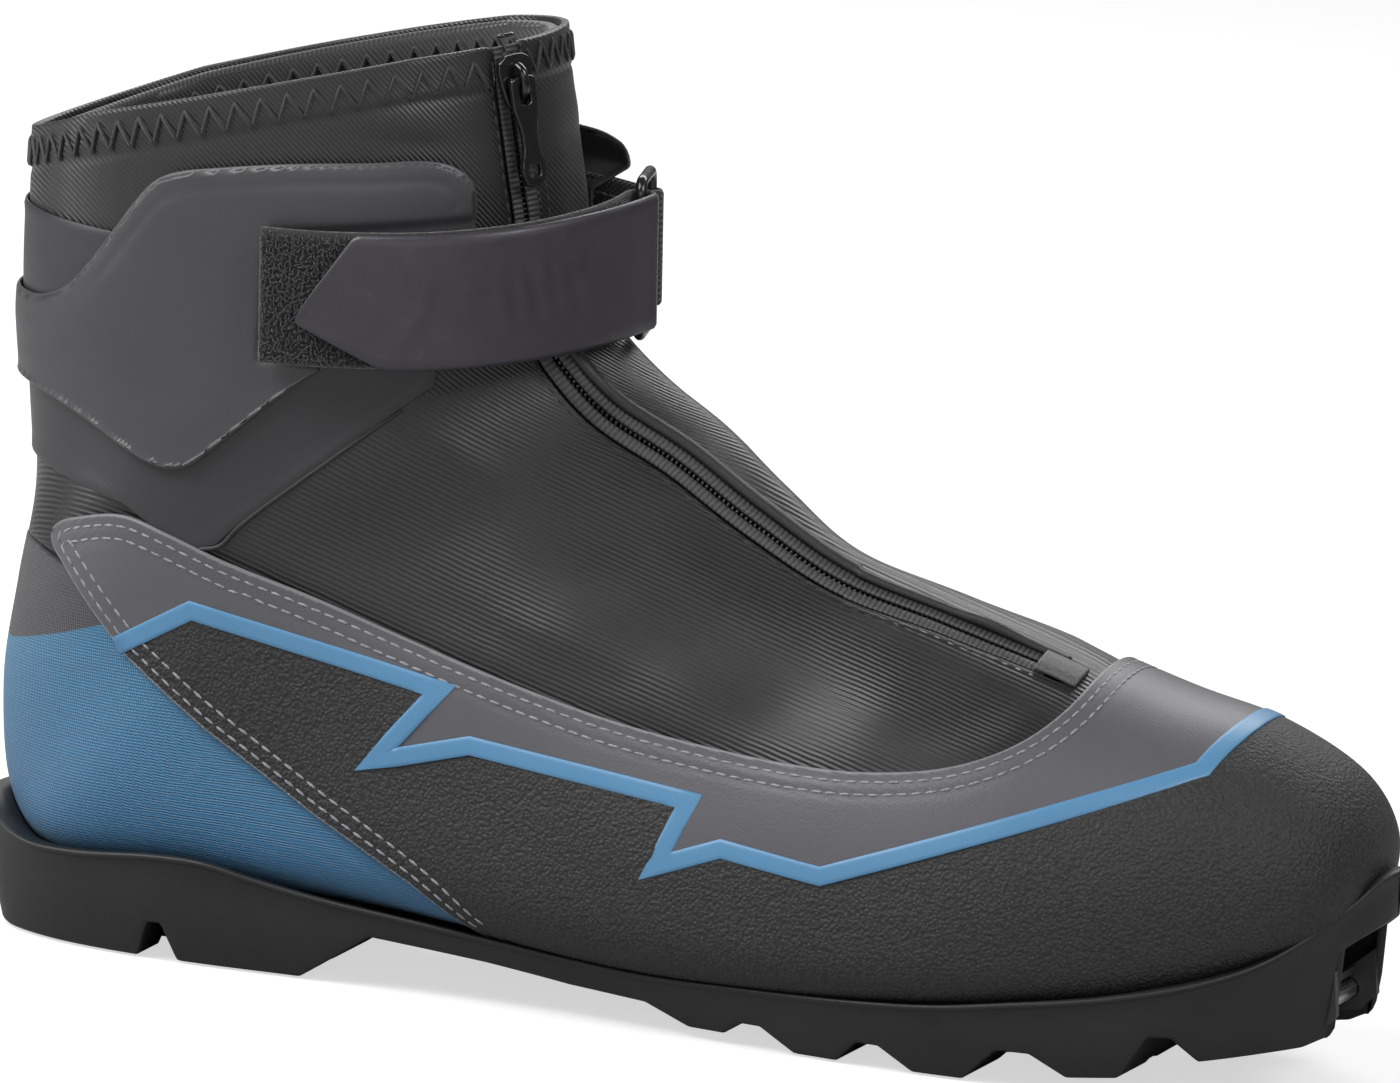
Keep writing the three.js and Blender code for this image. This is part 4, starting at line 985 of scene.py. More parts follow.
def angle_for(t, y):
    """Angle on the upper half of each slice where the skin is at y."""
    t, y = np.broadcast_arrays(np.asarray(t, float), np.asarray(y, float))
    low, high = np.full(t.shape, math.pi / 2), np.full(t.shape, 1.5 * math.pi)
    for _ in range(32):
        middle = (low + high) / 2
        outer_side = skin(t, middle)[..., 1] < y
        low, high = np.where(outer_side, middle, low), np.where(outer_side, high, middle)
    return (low + high) / 2


def zip_way(t_from, t_to, pitch, y_add=0.0):
    t = np.linspace(t_from, t_to, 200)
    soft = smooth_line(zip_line, 8)
    y = np.interp(t, soft[:, 0], soft[:, 1]) + y_add
    return even_path(t, angle_for(t, y), pitch)


def way_tree(t, a):
    points = skin(t, a)
    tree = KDTree(len(points))
    for k, q in enumerate(points):
        tree.insert(q, k)
    tree.balance()
    return tree


def below_rim(p, drop):
    return np.interp(p[:, 0], rim_line[:, 0], rim_line[:, 1]) - drop - p[:, 2]


slit_t = np.linspace(4.8, 20, 500)
slit_way = way_tree(slit_t, angle_for(slit_t, -8.0))
slit_gap = lambda p: np.array([slit_way.find(q)[2] for q in p]) - 15

fleece, tree, shader = surface("brushed_fleece", (.016, .016, .018), .95, Sheen_Weight=.6, Sheen_Roughness=.45)
fuzz = grain(tree, 900, 8, .75)
tufts = grain(tree, 260, 4)
paint(shader, ramp(tree, fuzz.outputs["Fac"], [(.3, (.009, .009, .01)), (.75, (.03, .03, .033))]))
low_bump = bump(tree, shader, tufts.outputs["Fac"], .35, .0008)
bump(tree, shader, fuzz.outputs["Fac"], .8, .0005, low_bump)

lining_sheet = cut_sheet(.3, 20, 2.6, lambda p, t, a: np.minimum(below_rim(p, 20.3), slit_gap(p)))
p = skin(lining_sheet["t"], lining_sheet["a"])
quilt = .35 * np.sin(p[:, 0] / 9) * np.sin(p[:, 2] / 8 + p[:, 1] / 15)
lining = shell("inner_boot_fleece", lining_sheet, -3.05, -5.9 - quilt * .5, fleece, 1.0)
finish_piece(lining, "boot", "liner_fleece", "liner")

twill_in, tree, shader = surface("collar_facing", (.015, .015, .017), .7, Sheen_Weight=.4, Sheen_Roughness=.4)


def twill_height(tree, pitch):
    """Height of slanting twill ribs; the slant is carried by the piece as 'grain'."""
    along = measured(tree, "grain")
    wander = grain(tree, 120, 3)
    moved = calc(tree, "ADD", along, calc(tree, "MULTIPLY", wander.outputs["Fac"], pitch * .5))
    return calc(tree, "SINE", calc(tree, "MULTIPLY", moved, 2 * math.pi / pitch))


ribs = twill_height(tree, .0011)
paint(shader, ramp(tree, calc(tree, "MULTIPLY_ADD", ribs, .5, .5), [(.1, grey(.007)), (.9, grey(.026))]))
bump(tree, shader, ribs, .6, .0002)


def twill_grain(p):
    """Distance across the twill ribs: they run flatter over the foot than round the ankle."""
    steep = .3 + .52 * np.clip((p[:, 2] - 112) / 34, 0, 1) ** 2 * (3 - 2 * np.clip((p[:, 2] - 112) / 34, 0, 1))
    return (p[:, 2] + (p[:, 0] - 100) * steep + .45 * p[:, 1]) / np.sqrt(1 + .42 ** 2) / 1000


roll_sheet = cut_sheet(12, 20, 1.5, lambda p, t, a: np.minimum(
    np.minimum(below_rim(p, .8), -below_rim(p, 20)), slit_gap(p)))
p = skin(roll_sheet["t"], roll_sheet["a"])
down_roll = np.clip(below_rim(p, 0) / 20, 0, 1)
plump = np.sin(math.pi * down_roll) ** .6
roll = shell("collar_roll_facing", roll_sheet, -2.95, -5.5 - 1.1 * plump, twill_in, 1.1,
             {"grain": twill_grain(p)})
finish_piece(roll, "boot", "collar_twill", "collar_roll")

tongue_t = np.linspace(5.9, 19.4, 300)
tongue_way = way_tree(tongue_t, angle_for(tongue_t, -8.0))
tongue_sheet = cut_sheet(5, 20, 2.0, lambda p, t, a: np.minimum(np.minimum(
    25 - np.array([tongue_way.find(q)[2] for q in p]), below_rim(p, 8)), t - 5.9))
p = skin(tongue_sheet["t"], tongue_sheet["a"])
tongue_edge = np.clip(edge_distance(tongue_sheet) / 9, 0, 1)
channels = .35 * np.abs(np.sin(math.pi * p[:, 2] / 22)) ** .4
tongue = shell("tongue_fleece", tongue_sheet, -8.0 + .35 * tongue_edge, -9.3 - .4 * tongue_edge - channels,
               fleece, .7)
finish_piece(tongue, "boot", "tongue_fleece", "tongue")

# ---------------------------------------------------------------- gaiter
# One softshell panel from the rand to the rim: black twill laminated to a stretch backing.
# It is lasted over the padding, so it swells softly between the seams and creases a little
# at the bend; the rim is folded in and held by a zigzag seam.
softshell, tree, shader = surface("softshell_twill", (.012, .012, .013), .5, Sheen_Weight=.12,
                                  Sheen_Roughness=.35,
                                  Specular_IOR_Level=.6)
ribs = twill_height(tree, .00108)
floats = grain(tree, 2400, 2)
cloud = grain(tree, 28, 5)
ground = ramp(tree, calc(tree, "MULTIPLY_ADD", ribs, .5, .5), [(.1, (.0058, .0058, .0064)),
    (.9, (.0135, .0135, .0148))])
mottled_texture = between(tree, ground, (.016, .0155, .017), calc(tree, "MULTIPLY", cloud.outputs["Fac"], .3))
paint(shader, mottled_texture)
rough = ramp(tree, cloud.outputs["Fac"], [(.3, grey(.33)), (.75, grey(.47))])
polish(shader, rough)
height = calc(tree, "ADD", ribs, calc(tree, "MULTIPLY", floats.outputs["Fac"], .7))
bump(tree, shader, height, .42, .00012)

shell_floor = rand_top - [0, 12]
gaiter_cut = np.concatenate([rim_line, [[150, 215], [245.7, 215], [245.7, 62], [236, 66]],
                             shell_floor[::-1][3:], [[-40, 74], [-40, 150]]])
slot_way_t = np.linspace(4.95, 20, 700)
soft_zip = smooth_line(zip_line, 8)
slot_y = np.interp(slot_way_t, soft_zip[:, 0], soft_zip[:, 1])
slot_way = way_tree(slot_way_t, angle_for(slot_way_t, slot_y))
slot_gap = lambda p: np.array([slot_way.find(q)[2] for q in p]) - 3.9
heel_room = np.array([[-60, 81.3], [8, 81.3], [22, 79.3], [22, 75], [41, 63.3], [60, 50.3], [110, -20],
                      [-60, -20]], float)
gaiter_sheet = cut_sheet(2.6, 20, 1.5, lambda p, t, a: np.minimum(np.minimum(
    inside_line(p[:, [0, 2]], gaiter_cut), -inside_line(p[:, [0, 2]], heel_room)), slot_gap(p)))
p = skin(gaiter_sheet["t"], gaiter_sheet["a"])
rp = skin(rand_sheet["t"], rand_sheet["a"])
rand_rim = sorted({v for e in rand_sheet["border"] for v in e})
rand_tree = KDTree(len(rand_rim))
for k, v in enumerate(rand_rim):
    rand_tree.insert(rp[v], k)
rand_tree.balance()
under_rand = inside_line(p[:, [0, 2]], rand_cut)
from_rand = np.array([rand_tree.find(q)[2] for q in p]) * np.where(under_rand > 0, 0, 1)
from_slot = slot_gap(p)
free = np.clip((p[:, 0] - 62 - .35 * (p[:, 2] - 110)) / 14, 0, 1)
free_band = np.maximum(np.clip((126 - p[:, 2]) / 10, 0, 1) * free, np.clip((p[:, 2] - 176) / 6, 0, 1))
ease = np.clip(from_rand / 12, 0, 1) * np.clip((from_slot - 3.5) / 20, 0, 1) * np.clip(below_rim(p, 0) / 18,
    0, 1)
swell = (.75 * np.sin(p[:, 0] / 13.5 + .9 * np.sin(p[:, 2] / 12 + .6) + .5)
         * np.sin(p[:, 2] / 9.5 + p[:, 0] / 31 + .04 * p[:, 1])
         + .35 * np.sin(p[:, 0] / 6.3 - p[:, 2] / 8.2 + 1.1) * np.sin(p[:, 2] / 15.0 + .7)
         + .25 * np.sin((p[:, 0] + p[:, 2]) / 21 + p[:, 1] / 12))
crease = -.5 * np.exp(-(((p[:, 2] - 118) + .35 * (p[:, 0] - 100)) / 3.2) ** 2) * np.exp(-((p[:,
    0] - 100) / 30) ** 2)
fullness = free_band * ease * (.5 + 1.35 * swell + crease)
tuck = -.35 * np.exp(-(from_rand / 2.2) ** 2)
rim_drop = below_rim(p, 0)
rim_fold = .28 * (1 - np.clip((rim_drop - 8.2) / 1.0, 0, 1)) - .3 * np.exp(-((rim_drop - 8.9) / .8) ** 2)
slot_edge = -.25 * np.clip(1 - from_slot / 1.6, 0, 1)
gaiter = shell("gaiter_softshell", gaiter_sheet, -1.22 + fullness + tuck + rim_fold + slot_edge, -2.65,
               softshell, .35,
               {"grain": twill_grain(p)})
finish_piece(gaiter, "boot", "softshell", "gaiter")

# ---------------------------------------------------------------- zip
# Water-repellent coil zip from the toe box to the rim: two coated tapes ribbed by the coil
# behind them, set into the gaiter under a stiff welt on its upper side and closed at the
# lower end by a welded patch. The tapes are sewn down along their outer edge.
tape, tree, shader = surface("coated_zip_tape", (.06, .06, .065), .5)
along_tape = measured(tree, "along")
speck = grain(tree, 2600, 3)
steps = calc(tree, "SINE", calc(tree, "MULTIPLY", along_tape, 2 * math.pi / .0011))
shade = calc(tree, "MULTIPLY_ADD", steps, .3, calc(tree, "MULTIPLY", speck.outputs["Fac"], .9))
paint(shader, ramp(tree, shade, [(.1, grey(.016)), (.75, grey(.062))]))
bump(tree, shader, shade, .7, .0002)


def within_rim(t, a, drop):
    p = skin(t, a)
    keep = below_rim(p, drop) > 0
    return t[keep], a[keep]


way_t, way_a = within_rim(*zip_way(5.05, 19.6, .37), .35)
run = lengths(skin(way_t, way_a))
ripple = .10 * np.sin(2 * math.pi * run / 1.1)
for name, s, node in (("zip_tape_outer_coated", -1, "zip_tape_outer"),
                      ("zip_tape_inner_coated", 1, "zip_tape_inner")):
    corners = [(s * 3.55, -2.15), (s * .65, -2.15), (s * .65, -1.75), (s * .8, -1.5), (s * 1.2, -1.36 + ripple),
               (s * 2.1, -1.33 + ripple), (s * 2.7, -1.42 + ripple * .3), (s * 3.4, -1.48), (s * 3.55, -1.7)]
    if s < 0:
        corners = corners[::-1]
    half = ribbon(name, way_t, way_a, corners, tape, carried={"along": run / 1000})
    finish_piece(half, "boot", "zip_tape", node)


def open_tree(name, shape_input, **sizes):
    """New tree with one shape going in, its sizes and the material as named inputs."""
    tree = bpy.data.node_groups.new(name, "GeometryNodeTree")
    face = tree.interface
    face.new_socket(shape_input, in_out="INPUT", socket_type="NodeSocketGeometry")
    for label, value in sizes.items():
        face.new_socket(label, in_out="INPUT", socket_type="NodeSocketFloat").default_value = value
    face.new_socket("Finish", in_out="INPUT", socket_type="NodeSocketMaterial")
    face.new_socket("Geometry", in_out="OUTPUT", socket_type="NodeSocketGeometry")
    return tree, add_node(tree, "NodeGroupInput")


def close_tree(tree, start, shape):
    real = add_node(tree, "GeometryNodeRealizeInstances", {"Geometry": shape})
    done = add_node(tree, "GeometryNodeSetMaterial",
                    {"Geometry": real.outputs[0], "Material": start.outputs["Finish"]})
    add_node(tree, "NodeGroupOutput", {"Geometry": done.outputs[0]})
    return tree


def set_along(name, shape):
    """Tree that sets one small shape on every point, turned by 'along' and 'up'."""
    tree, start = open_tree(name, "Points", Length=.003, Width=.0006, Height=.0006, Wander=0.0)
    if shape == "capsule":
        body = add_node(tree, "GeometryNodeMeshUVSphere", {"Segments": 8, "Rings": 6, "Radius": .5})
        formed = body.outputs["Mesh"]
        lying = add_node(tree, "GeometryNodeTransform", {"Geometry": formed, "Rotation": (0, math.pi / 2, 0)})
        formed = lying.outputs["Geometry"]
    else:
        arc = add_node(tree, "GeometryNodeCurveArc", {"Resolution": 6, "Radius": .5, "Start Angle": -.35,
                                                      "Sweep Angle": math.pi + .7})
        ring_profile = add_node(tree, "GeometryNodeCurvePrimitiveCircle", {"Resolution": 4, "Radius": .13})
        tube = add_node(tree, "GeometryNodeCurveToMesh", {"Curve": arc.outputs[0],
                                                          "Profile Curve": ring_profile.outputs[0]})
        standing = add_node(tree, "GeometryNodeTransform", {"Geometry": tube.outputs[0],
                                                            "Rotation": (math.pi / 2, 0, 0)})
        formed = standing.outputs["Geometry"]
    sized = add_node(tree, "ShaderNodeCombineXYZ", {"X": start.outputs["Length"], "Y": start.outputs["Width"],
                                                    "Z": start.outputs["Height"]})
    along = add_node(tree, "GeometryNodeInputNamedAttribute", {"Name": "along_way"}, data_type="FLOAT_VECTOR")
    up = add_node(tree, "GeometryNodeInputNamedAttribute", {"Name": "up_way"}, data_type="FLOAT_VECTOR")
    first = add_node(tree, "FunctionNodeAlignEulerToVector", {"Vector": up.outputs[0]}, axis="Z")
    second = add_node(tree, "FunctionNodeAlignEulerToVector",
                      {"Rotation": first.outputs[0], "Vector": along.outputs[0]}, axis="X", pivot_axis="Z")
    stray = add_node(tree, "FunctionNodeRandomValue", {"Seed": 7}, data_type="FLOAT")
    spread = add_node(tree, "ShaderNodeMath", {0: start.outputs["Wander"], 1: -1.0}, operation="MULTIPLY")
    tree.links.new(spread.outputs[0], stray.inputs[2])
    tree.links.new(start.outputs["Wander"], stray.inputs[3])
    twist = add_node(tree, "ShaderNodeCombineXYZ", {"Z": stray.outputs[1]})
    loose = add_node(tree, "FunctionNodeRotateEuler",
                     {"Rotation": second.outputs[0], "Rotate By": twist.outputs[0]}, space="LOCAL")
    cloud = add_node(tree, "GeometryNodeMeshToPoints", {"Mesh": start.outputs["Points"]})
    laid = add_node(tree, "GeometryNodeInstanceOnPoints", {"Points": cloud.outputs[0], "Instance": formed,
                                                           "Rotation": loose.outputs[0],
                                                           "Scale": sized.outputs[0]})
    return close_tree(tree, start, laid.outputs[0])


def thread_tree():
    """Tree that turns a drawn line into a round thread."""
    tree, start = open_tree("thread_along_line", "Line", Radius=.0003)
    line = add_node(tree, "GeometryNodeMeshToCurve", {"Mesh": start.outputs["Line"]})
    circle = add_node(tree, "GeometryNodeCurvePrimitiveCircle",
                      {"Resolution": 6, "Radius": start.outputs["Radius"]})
    tube = add_node(tree, "GeometryNodeCurveToMesh", {"Curve": line.outputs[0],
                                                      "Profile Curve": circle.outputs[0],
                                                      "Fill Caps": True})
    round_off = add_node(tree, "GeometryNodeSetShadeSmooth", {"Geometry": tube.outputs[0]})
    return close_tree(tree, start, round_off.outputs[0])


capsules, loops_tree, threads_tree = (
    set_along("stitches_along", "capsule"), set_along("pile_loops", "arch"), thread_tree())


def grow(name, tree, points, edges=(), vectors=None, smooth=True, **inputs):
    """Runs a tree on points or a line and gives back the plain mesh."""
    mesh = bpy.data.meshes.new(name)
    mesh.from_pydata([tuple(q) for q in place(points)], [tuple(map(int, e)) for e in edges], [])
    for label, values in (vectors or {}).items():
        mesh.attributes.new(label, "FLOAT_VECTOR", "POINT").data.foreach_set(
            "vector", np.asarray(values, np.float32).ravel())
    seed = bpy.data.objects.new(name + "_seed", mesh)
    show(seed)
    growth = seed.modifiers.new("growth", "NODES")
    growth.node_group = tree
    for item in tree.interface.items_tree:
        if item.in_out == "INPUT" and item.name in inputs:
            growth[item.identifier] = inputs[item.name]
    seen_by = bpy.context.evaluated_depsgraph_get()
    seen_by.update()
    made = bpy.data.meshes.new_from_object(seed.evaluated_get(seen_by))
    made.name = name
    bpy.data.objects.remove(seed)
    if smooth:
        made.polygons.foreach_set("use_smooth", [True] * len(made.polygons))
    piece = bpy.data.objects.new(name, made)
    show(piece)
    return piece


def way_frame(t, a, height, across=0.0):
    """Points at a height over a way on the skin, with the way's direction and the outward one."""
    points, normals = skin(t, a), outward(t, a)
    along = unit(np.gradient(points, axis=0))
    if across:
        tt, aa = skin_shift(t, a, np.cross(along, normals) * across)
        points, normals = skin(tt, aa), outward(tt, aa)
    return points + normals * np.asarray(height)[..., None], along, normals


def seam(name, ways, height, material, pitch=3.1, length=2.3, thick=.62, tree=None, wander=.05, turned=False,
         tall=None):
    """Row of stitches along each way over the skin."""
    points, along, up = [], [], []
    for t, a in ways:
        tt, aa = even_path(t, a, pitch)
        q, d, n = way_frame(tt, aa, np.full(len(tt), float(height)))
        points.append(q)
        along.append(np.cross(d, n) if turned else d)
        up.append(n)
    return grow(name, tree or capsules, np.concatenate(points), vectors={
        "along_way": np.concatenate(along), "up_way": np.concatenate(up)},
        Length=length / 1000, Width=thick / 1000, Height=(tall or thick * .8) / 1000, Wander=wander,
        Finish=material)


def spun_thread(name, dark, light, roughness=.6):
    thread, tree, shader = surface(name, dark, roughness, Sheen_Weight=.2)
    ply = grain(tree, 1700, 2)
    paint(shader, ramp(tree, ply.outputs["Fac"], [(.3, dark), (.7, light)]))
    bump(tree, shader, ply.outputs["Fac"], .6, .0001)
    return thread


black_thread = spun_thread("black_thread", (.006, .006, .007), (.02, .02, .022))
grey_thread = spun_thread("grey_thread", (.15, .155, .175), (.3, .305, .33))
coil, tree, shader = surface("nylon_coil", (.02, .02, .021), .38, Coat_Weight=.2)
tint = grain(tree, 400, 2)
paint(shader, ramp(tree, tint.outputs["Fac"], [(.3, grey(.012)), (.8, grey(.034))]))

# the coil itself, one small turn for each millimetre, behind the meeting edges of the tapes
chain_t, chain_a = within_rim(*zip_way(5.1, 19.6, 1.15), 3.2)
chain_ways = []
for shift_by in (-.85, .85):
    along = unit(np.gradient(skin(chain_t, chain_a), axis=0))
    chain_ways.append(skin_shift(chain_t, chain_a, np.cross(along, outward(chain_t, chain_a)) * shift_by))
chain = seam("zip_coil_turns", chain_ways, -2.75, coil, 1.15, 1.9, .8, turned=True, wander=0, tall=1.0)
finish_piece(chain, "boot", "zip_coil", "zip_chain")

welt, tree, shader = surface("welt_binding", (.014, .014, .015), .5)
nap = grain(tree, 1800, 4)
paint(shader, ramp(tree, nap.outputs["Fac"], [(.3, grey(.009)), (.8, grey(.024))]))
bump(tree, shader, nap.outputs["Fac"], .4, .00015)
welt_t, welt_a = zip_way(4.95, 12.4, .9)
at = np.linspace(0, 1, len(welt_t))
lift = .25 * np.sin(math.pi * np.clip(at * 1.02, 0, 1)) + .9 * np.exp(-((at - .13) / .05) ** 2)
piping = ribbon("zip_welt", welt_t, welt_a, [
    (6.0, -1.25), (3.3, -1.25), (3.15, -.9 + lift * .4), (3.5, -.35 + lift), (4.4, -.1 + lift),
    (5.4, -.35 + lift * .5), (6.0, -.8)][::-1],
    welt, fit_ends=1 - .25 * at ** 6)
finish_piece(piping, "boot", "zip_edge", "zip_piping")

patch_way = even_path([5.14, 4.95, 4.75], angle_for([5.14, 4.95, 4.75], [-12.1, -12.0, -12.0]), .5)
patch, tree, shader = surface("welded_patch", (.09, .09, .095), .55)
nap = grain(tree, 1500, 4)
paint(shader, ramp(tree, nap.outputs["Fac"], [(.3, grey(.05)), (.8, grey(.12))]))
bump(tree, shader, nap.outputs["Fac"], .5, .0002)
end_patch = ribbon("zip_end_patch_film", *patch_way, [
    (-4.1, -1.15), (3.8, -1.15), (3.8, -.6), (3.4, -.2), (1.5, -.05), (-1.5, -.05), (-3.7, -.2), (-4.1, -.6)],
    patch)
finish_piece(end_patch, "boot", "end_patch", "zip_end_patch")

tape_seam_t, tape_seam_a = within_rim(*zip_way(5.2, 19.5, 1.0), 3)
along = unit(np.gradient(skin(tape_seam_t, tape_seam_a), axis=0))
ways = [skin_shift(tape_seam_t, tape_seam_a,
                   np.cross(along, outward(tape_seam_t, tape_seam_a)) * s * 5.4) for s in (-1, 1)]
finish_piece(seam("zip_seam_stitches", ways, -1.28, black_thread, 3.0, 2.2, .55), "boot", "softshell")

# ---------------------------------------------------------------- slider and puller
# Die-cast zinc, painted gloss black: a slider body with a bridge, and a flat puller that
# hangs from its pin and ends in a drop with a slot.
gloss, tree, shader = surface("painted_zinc", (.01, .01, .011), .2, Metallic=.35, Coat_Weight=.6,
                              Coat_Roughness=.12)
orange = grain(tree, 500, 3)
polish(shader, ramp(tree, orange.outputs["Fac"], [(.35, grey(.14)), (.7, grey(.3))]))
bump(tree, shader, orange.outputs["Fac"], .12, .0001)

slider_t = 18.05


def zip_point(t):
    y = np.interp(t, zip_line[:, 0], zip_line[:, 1])
    a = angle_for(t, y)
    n = outward(t, a)
    return skin(t, a) - n * 1.4, n


slide_top, slide_out = zip_point(slider_t)
slide_low, _ = zip_point(slider_t - 2)
slide_down = (slide_low - slide_top) / np.linalg.norm(slide_low - slide_top)
slide_out = slide_out - slide_down * slide_out.dot(slide_down)
slide_out /= np.linalg.norm(slide_out)
slide_side = np.cross(slide_out, slide_down)
slider_frame = np.stack([slide_side, slide_out, slide_down], 1)


def on_slider(points):
    """Points given sideways, outward and down from the middle of the slider's foot."""
    return place(np.asarray(points, float) @ slider_frame.T + slide_top)


def cast_plate(name, outline, holes, thick, at_height, round_edge, material):
    """Flat casting with rounded edges, from outlines drawn sideways and down."""
    curve = bpy.data.curves.new(name, "CURVE")
    curve.dimensions, curve.fill_mode = "2D", "BOTH"
    curve.extrude, curve.bevel_depth, curve.bevel_resolution = thick / 2 - round_edge, round_edge, 3
    curve.offset = -round_edge
    for points in [outline] + holes:
        soft = smooth_line(points, 5, closed=True)
        spline = curve.splines.new("POLY")
        spline.points.add(len(soft) - 1)
        spline.points.foreach_set("co", np.c_[soft, np.zeros(len(soft)), np.ones(len(soft))].ravel())
        spline.use_cyclic_u = True
    holder = bpy.data.objects.new(name, curve)
    show(holder)
    made = bpy.data.meshes.new_from_object(holder)
    bpy.data.objects.remove(holder)
    flat = np.array([v.co for v in made.vertices])
    solid_points = np.stack([flat[:, 0], flat[:, 2] + at_height, flat[:, 1]], 1)
    faces = [tuple(f.vertices) for f in made.polygons]
    piece = new_piece(name, on_slider(solid_points), faces, material, smooth=True)
    weld(piece, 1e-6)
    return piece


def tube(points, radius, sides_round=10, closed=False, flat=1.0):
    """Rings of a round rod along points, in millimetres; returns vertices and faces."""
    points = np.asarray(points, float)
    n = len(points)
    along = (np.roll(points, -1, 0) - np.roll(points, 1, 0)) if closed else np.gradient(points, axis=0)
    along = unit(along)
    side = np.cross(along[0], [0, 0, 1.0] if abs(along[0][2]) < .9 else [1.0, 0, 0])
    rings = []
    for k in range(n):
        side = side - along[k] * side.dot(along[k])
        side /= np.linalg.norm(side)
        up = np.cross(along[k], side)
        r = radius[k] if np.ndim(radius) else radius
        rings += [points[k] + side * r * math.cos(v) + up * r * flat * math.sin(v)
                  for v in np.linspace(0, 2 * math.pi, sides_round, endpoint=False)]
    faces = loft_faces(n, sides_round, not closed)
    return np.array(rings), faces


def join(pieces):
    """One piece from several; the first gives its name."""
    for extra in pieces[1:]:
        work = bmesh.new()
        work.from_mesh(pieces[0].data)
        work.from_mesh(extra.data)
        work.to_mesh(pieces[0].data)
        work.free()
        bpy.data.objects.remove(extra)
    return pieces[0]


wide, long = 8.4, 11
body_outline = [(a * wide, b * long) for a, b in [
    (-.5, -.36), (-.3, -.48), (-.1, -.5), (.1, -.5), (.3, -.48), (.5, -.36), (.5, 0),
    (.46, .16), (.36, .44), (.28, .5), (-.28, .5), (-.36, .44), (-.46, .16), (-.5, 0)]]
slider = cast_plate("zip_slider_body", body_outline, [], 1.4, 2.0, .35, gloss)
bridge_way = [(0, 2.4, -3.4), (0, 3.6, -3.1), (0, 4.75, -2.0), (0, 5.05, 0), (0, 4.75, 2.0), (0, 3.6, 3.1),
              (0, 2.4, 3.4)]
bridge_way = smooth_line(bridge_way, 5)
rings, faces = tube(bridge_way, .95, 12, flat=.75)
bridge = new_piece("bridge", on_slider(rings), faces, gloss)
rings, faces = tube([(0, .2, -2.75), (0, .9, -2.75), (0, 1.6, -2.75)], .35, 8)
neck = new_piece("neck", on_slider(rings), faces, gloss)
slider = join([slider, bridge, neck])
finish_piece(slider, "slider", "slider_metal", "zip_slider")

pull_w, pull_l, pin_rise = 6.4, 22, 3.9
drop = [(a * pull_w, b * pull_l) for a, b in [
    (-.47, -.02), (-.5, .1), (-.5, .24), (-.42, .36), (-.32, .48), (-.3, .6), (-.38, .7), (-.47, .79),
    (-.46, .9), (-.3, .985),
    (0, 1.0), (.3, .985), (.46, .9), (.47, .79), (.38, .7), (.3, .6), (.32, .48), (.42, .36), (.5, .24),
    (.5, .1), (.47, -.02), (0, -.045)]]
window = [(a * pull_w, b * pull_l) for a, b in [(-.21, .045), (.21, .045), (.22, .12), (.2, .2), (0, .225),
                                                (-.2, .2), (-.22, .12)]]
slot = [(a * pull_w, b * pull_l) for a, b in [(-.24, .845), (-.2, .80), (0, .79), (.2, .80), (.24, .845),
                                              (.2, .89), (0, .9), (-.2, .89)]]
puller = cast_plate("zip_puller_drop", drop, [window[::-1], slot[::-1]], 1.3, pin_rise, .38, gloss)
rings, faces = tube([(-2.2, pin_rise, .35), (0, pin_rise, .35), (2.2, pin_rise, .35)], .5, 10)
puller = join([puller, new_piece("pin", on_slider(rings), faces, gloss)])
finish_piece(puller, "puller", "puller_metal", "zip_puller")

# small wire stop at the upper end of the zip
top_t, top_a = zip_way(18.9, 19.15, 2)
q, d, n = way_frame(top_t, top_a, np.full(len(top_t), -1.0))
c, side = q.mean(0), np.cross(d[0], n[0])
stop_way = smooth_line([c - side * 1.7 - n[0] * .5, c - side * 1.6 + n[0] * .25, c + n[0] * .45,
                        c + side * 1.6 + n[0] * .25,
                        c + side * 1.7 - n[0] * .5], 4)
rings, faces = tube(stop_way, .42, 8)
finish_piece(new_piece("zip_top_stop", place(rings), faces, gloss), "boot", "slider_metal")

# ---------------------------------------------------------------- ankle cradle and the film under it
# A moulded elastomer cradle holds the ankle: two wings joined behind the heel, thick at the
# ridge along their lower edge, with a shallow flat on the outer wing for the strap. A thin
# smooth film is bonded to the gaiter below it.
film, tree, shader = surface("underlay_film", (.03, .03, .033), .4)
cloud = grain(tree, 40, 5)
pores = grain(tree, 2200, 3)
paint(shader, between(tree, (.022, .0215, .024), (.036, .035, .039), cloud.outputs["Fac"]))
polish(shader, ramp(tree, cloud.outputs["Fac"], [(.3, grey(.34)), (.7, grey(.46))]))
bump(tree, shader, pores.outputs["Fac"], .25, .0001)
underlay_cut = np.array([[-14, 96], [5, 98], [17, 96.5], [24, 95.5], [33, 94], [41, 89.8], [48.6, 86.6],
                         [54, 88.6], [58, 93],
                         [74, 107], [96, 126], [96, 150], [-14, 150]], float)
underlay_sheet = cut_sheet(11.5, 18.5, 1.4, lambda p, t, a: inside_line(p[:, [0, 2]], underlay_cut))
under_edge = edge_distance(underlay_sheet)
underlay = shell("cuff_underlay_film", underlay_sheet, -.35 + .25 * np.exp(-((under_edge - 1.5) / .8) ** 2),
                 -.95, film, .3)
finish_piece(underlay, "boot", "underlay_film", "cuff_underlay")

